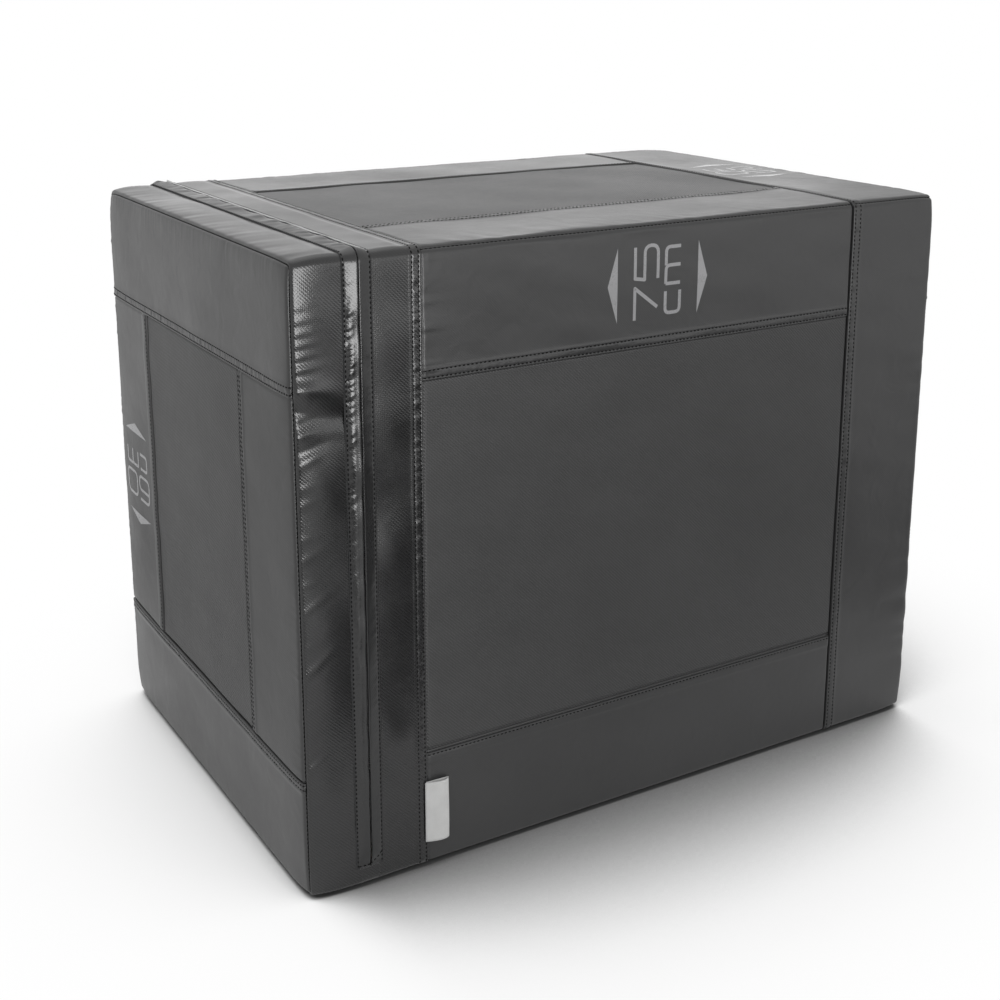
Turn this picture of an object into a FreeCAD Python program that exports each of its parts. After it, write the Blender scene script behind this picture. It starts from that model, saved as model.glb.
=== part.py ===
"""Soft plyo box: a plywood core, six foam slabs and a sewn vinyl cover with a zipped end flap.

Millimetres. X runs along the length with the flap at its low end, Y runs from front to back
and Z is up. The origin is the centre of the base.
"""
import FreeCAD
import Part
import math
import os

from FreeCAD import Vector

# Overall size of the covered box
box_length = 750.0
box_depth = 500.0
box_height = 600.0
edge_radius = 8.0

# Cover
sheet = 1.5
panel_recess = 0.7
band_width = 120.0
hem_radius = 0.6
hinge_upstand = 20.0
part_gap = 0.3

# Zip, which runs up the front, over the top and down the back
zip_offset = 64.0
channel_half = 9.5
tape_half = 14.0
tape_thick = 0.8
coil_width = 3.2
coil_height = 2.0
chain_split = 0.4
chain_start = 43.0
lip_thick = 1.2
lip_rise = 6.0
slit_half = 0.9

# Slider, parked at the low end of the back run, and its pull
slider_length = 16.0
slider_width = 12.5
plate_thick = 1.1
slider_park = 46.0
slider_play = 0.25
wedge_half = 1.7
bail_width = 2.5
bail_length = 10.5
bail_bar = 1.2
bail_hole = 2.3
pull_bar = 1.6
pull_width = 8.0
pull_length = 34.0
pull_thick = 1.4

# Woven tag sewn into the seam low on the front
tag_width = 25.0
tag_height = 62.0
tag_bottom = 27.0
tag_thick = 0.5
tag_bow = 3.0
tag_past_seam = 2.0

# Filling
foam_thick = 50.0
foam_clearance = 0.3
ply_thick = 18.0
finger_pitch = 90.0
brace_tab = 70.0
brace_tab_play = 0.2
brace_hole_margin = 95.0
brace_hole_radius = 40.0

# Places that follow from the sizes above
half_length = box_length / 2
half_depth = box_depth / 2
zip_x = -half_length + zip_offset
left_seam = -half_length + band_width
right_seam = half_length - band_width
front_seam = -half_depth + band_width
back_seam = half_depth - band_width
low_seam = band_width
high_seam = box_height - band_width
mitre_depth = edge_radius * 2
chain_top = tape_thick + coil_height
foam_inset = sheet + foam_clearance
core_inset = foam_inset + foam_thick

parts = {}


def block(x0, x1, y0, y1, z0, z1):
    """Box between two corners."""
    return Part.makeBox(x1 - x0, y1 - y0, z1 - z0, Vector(x0, y0, z0))


def rounded_block(inset):
    """The covered box set in by a distance on every face, with its edges rounded to match."""
    plain = block(-half_length + inset, half_length - inset,
                  -half_depth + inset, half_depth - inset,
                  inset, box_height - inset)
    return plain.makeFillet(edge_radius - inset, plain.Edges)


def polygon(points):
    """Flat face inside a closed run of points."""
    return Part.Face(Part.makePolygon(points + [points[0]]))


def rounded_rectangle(x, inset):
    """Outline of the box's cross-section at one x, set in and rounded at its corners."""
    y = half_depth - inset
    z0 = inset
    z1 = box_height - inset
    section = polygon([Vector(x, -y, z0), Vector(x, y, z0), Vector(x, y, z1), Vector(x, -y, z1)])
    prism = section.extrude(Vector(1, 0, 0))
    along = [e for e in prism.Edges if abs(e.tangentAt(e.FirstParameter).x) > 0.9]
    rounded = prism.makeFillet(edge_radius - inset, along)
    end = [f for f in rounded.Faces if abs(f.CenterOfMass.x - x) < 0.01][0]
    return end.OuterWire


def end_zone(side):
    """Zone of one end face, which meets the four long faces on a mitre right round."""
    outer = rounded_rectangle(side * half_length, 0)
    depth = edge_radius * 0.8
    inner = rounded_rectangle(side * (half_length - depth), depth)
    return Part.makeLoft([outer, inner], True, True)


def long_zone(name):
    """Zone of one long face, which meets its neighbours on mitres along the box's long edges."""
    y = half_depth
    z = box_height
    m = mitre_depth
    corners = {
        "top": [(-y, z), (y, z), (y - m, z - m), (m - y, z - m)],
        "bottom": [(-y, 0), (y, 0), (y - m, m), (m - y, m)],
        "front": [(-y, 0), (-y, z), (m - y, z - m), (m - y, m)],
        "back": [(y, 0), (y, z), (y - m, z - m), (y - m, m)],
    }
    section = polygon([Vector(-half_length, a, b) for a, b in corners[name]])
    return section.extrude(Vector(box_length, 0, 0))


def within(shape, x=None, y=None, z=None):
    """The share of a shape inside ranges of x, y and z."""
    far = box_length + box_depth + box_height
    x = x or (-far, far)
    y = y or (-far, far)
    z = z or (-far, far)
    return shape.common(block(x[0], x[1], y[0], y[1], z[0], z[1]))


def turn_hem(piece, axis, level, face_axis, face_level):
    """Round the outer edge of a turned hem that lies at one level on one face."""
    def on_hem(edge):
        ends = [v.Point for v in edge.Vertexes]
        on_face = all(abs(p[face_axis] - face_level) < 0.001 for p in ends)
        return on_face and all(abs(p[axis] - level) < 0.001 for p in ends)
    hem = [e for e in piece.Edges if on_hem(e)]
    return piece.makeFillet(hem_radius, hem)


def solid_of(shape):
    """A boolean result as one clean solid."""
    joined = shape.removeSplitter()
    if len(joined.Solids) != 1:
        raise ValueError("expected one solid")
    return joined.Solids[0]


def zip_path(front_end, back_end):
    """Path of the zip on the cover: up the front, over the top and down to a level at the back."""
    r = edge_radius
    c = r * math.cos(math.pi / 4)
    y = half_depth
    z = box_height
    front_low = Vector(zip_x, -y, front_end)
    front_high = Vector(zip_x, -y, z - r)
    front_mid = Vector(zip_x, -y + r - c, z - r + c)
    top_front = Vector(zip_x, -y + r, z)
    top_back = Vector(zip_x, y - r, z)
    back_mid = Vector(zip_x, y - r + c, z - r + c)
    back_high = Vector(zip_x, y, z - r)
    back_low = Vector(zip_x, y, back_end)
    edges = [
        Part.makeLine(front_low, front_high),
        Part.Arc(front_high, front_mid, top_front).toShape(),
        Part.makeLine(top_front, top_back),
        Part.Arc(top_back, back_mid, back_high).toShape(),
        Part.makeLine(back_high, back_low),
    ]
    return Part.Wire(edges)


def carry(section, front_end, back_end):
    """Carry a section, given as offsets across the zip and heights off the cover, along the zip."""
    points = [Vector(zip_x + u, -half_depth - h, front_end) for u, h in section]
    outline = Part.makePolygon(points + [points[0]])
    swept = zip_path(front_end, back_end).makePipeShell([outline], True, False)
    return Part.Solid(swept) if swept.ShapeType == "Shell" else swept.Solids[0]


def skins():
    """Shell of the cover cut on its mitres into four long faces and two ends."""
    shell = rounded_block(0).cut(rounded_block(sheet))
    ends = {"left": end_zone(-1), "right": end_zone(1)}
    cut = {}
    for name, zone in ends.items():
        cut[name] = shell.common(zone)
    ring = shell.cut(ends["left"]).cut(ends["right"])
    cut["ring"] = ring
    for name in ("top", "bottom", "front", "back"):
        cut[name] = ring.common(long_zone(name))
    return cut


def side_cover(skin, name, side):
    """Front or back: bands above, below and at the far end round a lower woven panel."""
    y = side * half_depth
    run = (left_seam, right_seam)
    top = solid_of(within(skin, x=run, z=(high_seam, box_height)))
    low = solid_of(within(skin, x=run, z=(0, low_seam)))
    right = solid_of(within(skin, x=(right_seam, half_length)))
    parts[name + "_top_band"] = turn_hem(top, 2, high_seam, 1, y)
    parts[name + "_bottom_band"] = turn_hem(low, 2, low_seam, 1, y)
    parts[name + "_right_band"] = turn_hem(right, 0, right_seam, 1, y)
    outer = y - side * panel_recess
    inner = y - side * sheet
    parts[name + "_centre_panel"] = block(left_seam, right_seam, min(outer, inner), max(outer, inner),
                                          low_seam, high_seam)


def flat_cover(skin, name, level, inward):
    """Top or base: strips along the front and back and a band at the far end round a panel."""
    run = (left_seam, right_seam)
    front = solid_of(within(skin, x=run, y=(-half_depth, front_seam)))
    back = solid_of(within(skin, x=run, y=(back_seam, half_depth)))
    right = solid_of(within(skin, x=(right_seam, half_length)))
    parts[name + "_front_strip"] = turn_hem(front, 1, front_seam, 2, level)
    parts[name + "_back_strip"] = turn_hem(back, 1, back_seam, 2, level)
    parts[name + "_right_band"] = turn_hem(right, 0, right_seam, 2, level)
    outer = level + inward * panel_recess
    inner = level + inward * sheet
    parts[name + "_centre_panel"] = block(left_seam, right_seam, front_seam, back_seam,
                                          min(outer, inner), max(outer, inner))


def end_cover(skin, name, side):
    """One end: full-width bands above and below, strips between them and a panel in the middle."""
    x = side * half_length
    rows = (low_seam, high_seam)
    top = solid_of(within(skin, z=(high_seam, box_height)))
    low = solid_of(within(skin, z=(0, low_seam)))
    front = solid_of(within(skin, y=(-half_depth, front_seam), z=rows))
    back = solid_of(within(skin, y=(back_seam, half_depth), z=rows))
    parts[name + "_top_band"] = turn_hem(top, 2, high_seam, 0, x)
    parts[name + "_bottom_band"] = turn_hem(low, 2, low_seam, 0, x)
    parts[name + "_front_strip"] = turn_hem(front, 1, front_seam, 0, x)
    parts[name + "_back_strip"] = turn_hem(back, 1, back_seam, 0, x)
    outer = x - side * panel_recess
    inner = x - side * sheet
    parts[name + "_centre_panel"] = block(min(outer, inner), max(outer, inner), front_seam, back_seam,
                                          low_seam, high_seam)


def gussets(cut):
    """Bands beside the zip, which wrap the box without a seam at its edges."""
    flap_edge = zip_x - channel_half
    body_edge = zip_x + channel_half
    parts["body_gusset"] = solid_of(within(cut["ring"], x=(body_edge, left_seam)))
    near_end = within(cut["ring"], x=(-half_length, body_edge))
    parts["hinge_band"] = solid_of(within(near_end, z=(0, hinge_upstand)))
    above = (hinge_upstand + part_gap, box_height)
    parts["flap_gusset"] = solid_of(within(near_end, x=(-half_length, flap_edge), z=above))


def zip_fastener():
    """Two tapes sewn on the gussets, each with a coil and with a lip that covers the coil."""
    u = chain_split / 2
    start = hinge_upstand + part_gap
    garage = slider_park + slider_length / 2 + part_gap * 2
    e = wedge_half + part_gap
    body_tape = [(e, 0), (tape_half, 0), (tape_half, tape_thick), (e, tape_thick)]
    flap_tape = [(-a, h) for a, h in body_tape]
    parts["zip_tape_body"] = carry(body_tape, start, start)
    parts["zip_tape_flap"] = carry(flap_tape, start, garage)
    b = coil_width * 0.22
    h0 = tape_thick
    h1 = chain_top
    body_coil = [(u, h0), (u + coil_width, h0), (u + coil_width, h1 - b), (u + coil_width - b, h1),
                 (u + b, h1), (u, h1 - b)]
    flap_coil = [(-a, h) for a, h in body_coil]
    parts["zip_coil_body"] = carry(body_coil, chain_start, slider_park + part_gap)
    parts["zip_coil_flap"] = carry(flap_coil, chain_start, garage)
    body_lip = lip_section()
    flap_lip = [(-a, h) for a, h in body_lip]
    parts["zip_lip_body"] = carry(body_lip, start, garage + lip_rise)
    parts["zip_lip_flap"] = carry(flap_lip, start, garage + lip_rise)


def lip_section():
    """Bent strip of vinyl: sewn down on the tape, up beside the coil, then flat to a rounded edge at the slit."""
    low = tape_thick
    under = chain_top + part_gap
    over = under + lip_thick
    root = tape_half
    foot = channel_half
    bend = foot - lip_rise * 0.4
    edge = lip_thick * 0.3
    return [(root, low), (foot, low), (bend, under), (slit_half, under), (slit_half, over - edge),
            (slit_half + edge, over), (bend + lip_rise * 0.1, over), (foot + lip_rise * 0.1, low + lip_thick),
            (root - edge, low + lip_thick), (root, low + lip_thick - edge)]


def slider_outline(width, length):
    """Slider plate seen square on: wide throat below, narrow rear above."""
    w = width / 2
    n = width * 0.38
    s = length / 2
    return [(-w, -s), (w, -s), (w, s * 0.1), (n, s), (-n, s), (-w, s * 0.1)]


def back_plate(outline, low, high):
    """Plate parallel to the back of the box between two heights off the cover."""
    points = [Vector(zip_x + u, half_depth + low, slider_park + v) for u, v in outline]
    return polygon(points).extrude(Vector(0, high - low, 0))


def zip_slider():
    """Slider of two plates joined by a wedge, with side flanges and a bail for the pull."""
    under = -slider_play - plate_thick
    over = chain_top + slider_play
    shape = slider_outline(slider_width, slider_length)
    lower = back_plate(shape, under, -slider_play)
    upper = back_plate(shape, over, over + plate_thick)
    s = slider_length / 2
    w = wedge_half
    wedge = back_plate([(-w * 0.5, -s), (w * 0.5, -s), (w, -s * 0.75), (0, -s * 0.05),
                        (-w, -s * 0.75)], -slider_play, over)
    rim = slider_width / 2
    wall = plate_thick * 0.8
    flange_low = tape_thick + slider_play
    flanges = []
    for side in (-1, 1):
        strip = [(side * (rim - wall), -s), (side * rim, -s), (side * rim, s * 0.1),
                 (side * (rim - wall), s * 0.1)]
        flanges.append(back_plate(strip, flange_low, over))
    bail_low = over + plate_thick
    arch = bail_arch(bail_low)
    return solid_of(lower.multiFuse([upper, wedge, arch] + flanges))


def bail_arch(level):
    """Arch along the slider under which the pull's bar lies, square legs with rounded shoulders."""
    l = bail_length / 2
    top = level + bail_hole + bail_bar
    y = half_depth
    x = zip_x - bail_width / 2
    z = slider_park
    outer = polygon([Vector(x, y + level, z - l), Vector(x, y + level, z + l),
                     Vector(x, y + top, z + l), Vector(x, y + top, z - l)])
    body = outer.extrude(Vector(bail_width, 0, 0))
    shoulders = [e for e in body.Edges if e.BoundBox.XLength > 1 and e.BoundBox.YMin > y + top - 0.01]
    body = body.makeFillet(bail_bar * 0.9, shoulders)
    leg = l - bail_bar
    hole = block(x - 1, x + bail_width + 1, y + level, y + level + bail_hole, z - leg, z + leg)
    return body.cut(hole)


def zip_pull():
    """Pull hanging from the bail: a bar under the arch, two rails and a rounded tongue."""
    bar_level = chain_top + slider_play + plate_thick + bail_hole / 2
    y = half_depth + bar_level
    z = slider_park
    w = pull_width / 2
    slot_half = bail_width / 2 + part_gap
    slot_end = bail_length / 2 + part_gap + bail_bar
    plate = block(zip_x - w, zip_x + w, y - pull_thick / 2, y + pull_thick / 2, z - pull_length, z)
    tongue = [e for e in plate.Edges if e.BoundBox.YLength > pull_thick * 0.9 and e.BoundBox.ZMax < z - 1]
    plate = plate.makeFillet(w * 0.6, tongue)
    slot = block(zip_x - slot_half, zip_x + slot_half, y - pull_thick, y + pull_thick, z - slot_end, z + 1)
    eye = Part.makeCylinder(w * 0.4, pull_thick * 2, Vector(zip_x, y - pull_thick, z - pull_length + w * 1.2),
                            Vector(0, 1, 0))
    bar = Part.makeCylinder(pull_bar / 2, pull_width, Vector(zip_x - w, y, z), Vector(1, 0, 0))
    return solid_of(plate.cut(slot).cut(eye).fuse(bar))


def woven_tag():
    """Folded tag: both cut ends caught in the seam, one layer on the band and the other bowed off it."""
    t = tag_thick
    x0 = left_seam + tag_past_seam
    x1 = x0 + tag_width
    middle = (x0 + x1) / 2
    y = -half_depth

    def at(x, off):
        return Vector(x, y - off, tag_bottom)

    outside = [Part.makeLine(at(x0, 0), at(x1, 0)), Part.makeLine(at(x1, 0), at(x1, 2 * t)),
               Part.Arc(at(x1, 2 * t), at(middle, 2 * t + tag_bow), at(x0, 2 * t)).toShape(),
               Part.makeLine(at(x0, 2 * t), at(x0, 0))]
    inside = [Part.makeLine(at(x0 + t, t), at(x1 - t, t)),
              Part.Arc(at(x1 - t, t), at(middle, t + tag_bow), at(x0 + t, t)).toShape()]
    loop = Part.Face(Part.Wire(outside)).cut(Part.Face(Part.Wire(inside)))
    return loop.extrude(Vector(0, 0, tag_height)).Solids[0]


def foam_slabs():
    """Six slabs that wrap the core, cut from one block with rounded edges."""
    outer = rounded_block(foam_inset)
    x = half_length - core_inset
    y = half_depth - core_inset
    z0 = core_inset
    z1 = box_height - core_inset
    rows = (z0, z1)
    parts["foam_top"] = within(outer, z=(z1, box_height)).Solids[0]
    parts["foam_bottom"] = within(outer, z=(0, z0)).Solids[0]
    parts["foam_front"] = within(outer, y=(-half_depth, -y), z=rows).Solids[0]
    parts["foam_back"] = within(outer, y=(y, half_depth), z=rows).Solids[0]
    parts["foam_left_end"] = within(outer, x=(-half_length, -x), y=(-y, y), z=rows).Solids[0]
    parts["foam_right_end"] = within(outer, x=(x, half_length), y=(-y, y), z=rows).Solids[0]


def core_halves():
    """Half sizes of the plywood core along x, y and z."""
    return (half_length - core_inset, half_depth - core_inset, box_height / 2 - core_inset)


def core_block(ranges):
    """Box in the core's own axes, whose origin is the core's centre."""
    (x0, x1), (y0, y1), (z0, z1) = ranges
    mid = box_height / 2
    return block(x0, x1, y0, y1, mid + z0, mid + z1)


def face_range(axis, side):
    """Range across one panel's thickness."""
    h = core_halves()[axis]
    return (h - ply_thick, h) if side > 0 else (-h, ply_thick - h)


def inner_range(axis):
    """Range between two opposite panels."""
    h = core_halves()[axis] - ply_thick
    return (-h, h)


def finger_count(axis):
    """Odd count of fingers along an edge, near the wanted pitch."""
    run = inner_range(axis)
    pairs = round((run[1] - run[0]) / finger_pitch / 2)
    return 2 * max(1, pairs) + 1


def finger_ranges(axis, first):
    """Every second finger along an edge, starting with the first or the second."""
    start, end = inner_range(axis)
    count = finger_count(axis)
    step = (end - start) / count
    return [(start + i * step, start + (i + 1) * step) for i in range(first, count, 2)]


def panel_solid(axis, side):
    """Plywood panel with its share of the fingers on all four edges."""
    ranges = [inner_range(0), inner_range(1), inner_range(2)]
    ranges[axis] = face_range(axis, side)
    solids = [core_block(ranges)]
    rank = {2: 0, 0: 1, 1: 2}
    for other in range(3):
        if other == axis:
            continue
        along = 3 - axis - other
        first = 0 if rank[axis] < rank[other] else 1
        for other_side in (-1, 1):
            for finger in finger_ranges(along, first):
                part = [None, None, None]
                part[axis] = face_range(axis, side)
                part[other] = face_range(other, other_side)
                part[along] = finger
                solids.append(core_block(part))
    if axis == 2:
        for sx in (-1, 1):
            for sy in (-1, 1):
                solids.append(core_block([face_range(0, sx), face_range(1, sy), face_range(2, side)]))
    return solids[0].multiFuse(solids[1:]).removeSplitter()


def brace():
    """Divider across the middle of the core, with tabs through the top and base panels."""
    hx, hy, hz = core_halves()
    t = ply_thick / 2
    plate = core_block([(-t, t), inner_range(1), inner_range(2)])
    y = hy - ply_thick - brace_hole_margin
    z = hz - ply_thick - brace_hole_margin
    window = core_block([(-t, t), (-y, y), (-z, z)])
    corners = [e for e in window.Edges if e.BoundBox.XLength > t]
    window = window.makeFillet(brace_hole_radius, corners)
    return plate.cut(window).multiFuse(brace_tabs(0)).removeSplitter()


def brace_tabs(play):
    """Tabs of the divider, or the mortises that take them."""
    hx, hy, hz = core_halves()
    t = ply_thick / 2 + play
    tabs = []
    for side in (-1, 1):
        for place in (-1, 1):
            y = place * hy / 2
            rows = face_range(2, side)
            tabs.append(core_block([(-t, t), (y - brace_tab / 2 - play, y + brace_tab / 2 + play), rows]))
    return tabs


def plywood_core():
    """Six finger-jointed panels and the divider."""
    names = {(0, -1): "left", (0, 1): "right", (1, -1): "front", (1, 1): "back",
             (2, -1): "bottom", (2, 1): "top"}
    mortises = Part.makeCompound(brace_tabs(brace_tab_play))
    for (axis, side), name in names.items():
        panel = panel_solid(axis, side)
        if axis == 2:
            panel = panel.cut(mortises)
        parts["core_" + name + "_panel"] = panel.Solids[0]
    parts["core_brace"] = brace()


def build():
    """Make every piece, then write one file for each."""
    cut = skins()
    side_cover(cut["front"], "front", -1)
    side_cover(cut["back"], "back", 1)
    flat_cover(cut["top"], "top", box_height, -1)
    flat_cover(cut["bottom"], "bottom", 0, 1)
    end_cover(cut["right"], "right", 1)
    end_cover(cut["left"], "flap", -1)
    gussets(cut)
    zip_fastener()
    parts["zip_slider"] = zip_slider()
    parts["zip_pull"] = zip_pull()
    parts["woven_tag"] = woven_tag()
    foam_slabs()
    plywood_core()
    os.makedirs("parts", exist_ok=True)
    for name, shape in parts.items():
        shape.exportStep("parts/" + name + ".step")


build()
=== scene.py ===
import math

import bpy
import numpy as np
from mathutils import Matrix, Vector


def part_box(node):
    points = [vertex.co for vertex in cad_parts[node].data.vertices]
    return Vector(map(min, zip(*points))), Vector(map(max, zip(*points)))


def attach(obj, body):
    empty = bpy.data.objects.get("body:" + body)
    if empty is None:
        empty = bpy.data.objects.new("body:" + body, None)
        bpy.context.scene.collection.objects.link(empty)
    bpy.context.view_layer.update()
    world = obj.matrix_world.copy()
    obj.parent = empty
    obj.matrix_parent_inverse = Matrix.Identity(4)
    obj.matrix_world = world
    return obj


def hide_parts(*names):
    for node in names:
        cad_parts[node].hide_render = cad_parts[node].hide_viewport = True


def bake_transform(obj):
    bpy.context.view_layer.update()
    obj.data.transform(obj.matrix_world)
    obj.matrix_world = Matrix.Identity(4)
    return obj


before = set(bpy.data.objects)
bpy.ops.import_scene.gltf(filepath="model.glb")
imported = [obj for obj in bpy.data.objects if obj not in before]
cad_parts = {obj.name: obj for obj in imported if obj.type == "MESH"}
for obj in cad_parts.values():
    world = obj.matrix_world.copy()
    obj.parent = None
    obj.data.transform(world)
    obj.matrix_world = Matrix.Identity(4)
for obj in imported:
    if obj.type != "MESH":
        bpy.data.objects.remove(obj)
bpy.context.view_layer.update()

bl_info = {
    "name": "Soft Jump Box",
    "version": (1, 0, 0),
    "blender": (4, 5, 0),
    "location": "View3D > Sidebar > Jump Box",
    "description": "Dresses the packed jump box: sewn vinyl cover, zip, size marks, foam and core",
    "category": "Object",
}

MM = 0.001


def low(node):
    """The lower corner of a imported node's box."""
    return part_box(node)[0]


def high(node):
    """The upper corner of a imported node's box."""
    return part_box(node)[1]


# ---------------------------------------------------------------- sizes and colours


def metres(name, description, default):
    """A length of the box as a property."""
    return bpy.props.FloatProperty(name=name, description=description, default=default, unit="LENGTH")


def tint(name, description, *shade):
    """A plain surface colour as a property."""
    return bpy.props.FloatVectorProperty(
        name=name, description=description, default=shade, subtype="COLOR", size=3, min=0, max=1)


class JumpBoxSizes(bpy.types.PropertyGroup):
    """Sizes of the dressed box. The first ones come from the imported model."""

    length: metres("Length", "Covered length, along X", 2 * high("right_top_band")[0])
    depth: metres("Depth", "Covered depth, along Y", high("body_gusset")[1] - low("body_gusset")[1])
    height: metres("Height", "Covered height, along Z", high("body_gusset")[2])
    edge_radius: metres("Edge radius", "Rounding of the padded edges", 8 * MM)
    seam_left: metres("Zip band seam", "X of the seam between the zip band and the covers", high("body_gusset")[0])
    seam_right: metres("Far band seam", "X of the seam of the far band", low("front_right_band")[0])
    seam_side: metres("Strip seam", "Distance of the strip seams from the middle, along Y", high("top_centre_panel")[1])
    seam_low: metres("Lower seam", "Z of the lower band's seam", high("front_bottom_band")[2])
    seam_high: metres("Upper seam", "Z of the upper band's seam", low("front_top_band")[2])
    zip_x: metres("Zip", "X of the zip's chain", (low("zip_tape_flap")[0] + high("zip_tape_body")[0]) / 2)
    recess: metres("Panel recess", "Depth of the woven panels under the bands",
                   high("top_right_band")[2] - high("top_centre_panel")[2])
    cloth: metres("Vinyl thickness", "Thickness of the coated cloth", 1.2 * MM)
    hem_rise: metres("Hem rise", "Height of a turned and sewn hem over the cloth", 0.6 * MM)
    hem_width: metres("Hem width", "Width of a turned hem", 12 * MM)
    stitch_pitch: metres("Stitch pitch", "Length of one stitch with its gap", 4.4 * MM)
    stitch_width: metres("Thread width", "Width of the sewing thread", 1.4 * MM)
    gather: bpy.props.FloatProperty(name="Gathers", description="Share of the sewn gathers that shows",
                                    default=1.0, min=0.0, max=2.0, subtype="FACTOR")
    tooth_pitch: metres("Coil pitch", "Pitch of the zip's coil", 2 * MM)


class JumpBoxColours(bpy.types.PropertyGroup):
    """Colours of the finishes, as plain surface colours."""

    vinyl: tint("Vinyl", "Coated bands and strips", 0.021, 0.021, 0.0214)
    gusset: tint("Glossy vinyl", "Coated bands beside the zip", 0.014, 0.014, 0.0143)
    panel: tint("Woven panel", "Woven centre panels", 0.021, 0.021, 0.0214)
    backing: tint("Backing", "Knit backing inside the cover", 0.055, 0.055, 0.057)
    thread: tint("Thread", "Sewing thread", 0.006, 0.006, 0.006)
    print_ink: tint("Size marks", "Printed size marks", 0.24, 0.24, 0.245)
    label: tint("Tag", "Blank woven tag", 0.52, 0.52, 0.515)
    zip_tape: tint("Zip tape", "Woven zip tapes", 0.012, 0.012, 0.013)
    zip_coil: tint("Zip coil", "Nylon coil", 0.02, 0.02, 0.021)
    slider: tint("Slider", "Blackened slider and pull", 0.16, 0.16, 0.165)
    foam: tint("Foam", "Foam slabs", 0.52, 0.51, 0.47)
    plywood: tint("Plywood", "Plywood core", 0.53, 0.36, 0.20)
    floor: tint("Floor", "Pale studio floor", 0.93, 0.93, 0.93)


def sizes():
    return bpy.context.scene.jump_box_sizes


def colours():
    return bpy.context.scene.jump_box_colours


# ---------------------------------------------------------------- the covered box as a surface


def ease(x):
    """0 to 1 in an S curve: three x squared less two x cubed, with x held between 0 and 1."""
    x = np.clip(x, 0, 1)
    return x * x * (3 - 2 * x)


def bump_at(x, centre, width):
    """A rounded ridge: e to the minus square of the distance over the width."""
    return np.exp(-(((x - centre) / width) ** 2))


def unit(vectors):
    """Vectors divided by their lengths."""
    return vectors / np.linalg.norm(vectors, axis=-1, keepdims=True)


def stacked(*parts):
    """Parts of points, brought to one shape and put together."""
    return np.stack(np.broadcast_arrays(*parts), -1)


def ripple(t, wavelength, seed):
    """An uneven wave along a seam: six sines whose lengths are spread round the wavelength, with fixed phases."""
    rng = np.random.default_rng(seed)
    lengths = wavelength * np.geomspace(0.6, 2.3, 6) * rng.uniform(0.85, 1.15, 6)
    phases = rng.uniform(0, 2 * np.pi, 6)
    return np.sin(2 * np.pi * np.asarray(t)[..., None] / lengths + phases).sum(-1) / 2.4


def ridges(t, wavelength, seed):
    """Ridges with sharp valleys along a seam: the size of the uneven wave, less a half."""
    return np.abs(ripple(t, wavelength, seed)) - 0.5


def sway(points, wavelength, seed):
    """Slow waviness in space: seven plane waves in fixed directions, so that it is the same on both sides of a seam."""
    rng = np.random.default_rng(seed)
    k = rng.normal(size=(7, 3))
    k *= (2 * np.pi / (wavelength * rng.uniform(0.7, 1.6, 7)) / np.linalg.norm(k, axis=1))[:, None]
    return np.sin(points @ k.T + rng.uniform(0, 2 * np.pi, 7)).sum(-1) / 2.6


def fold(q, half, radius):
    """Distance q from a face's middle, measured along the cloth: straight up to half less radius, then round the edge.
    Gives the straight part and the tangent of the angle turned so far."""
    flat = np.clip(q, radius - half, half - radius)
    return flat, np.tan((q - flat) / radius)


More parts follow.
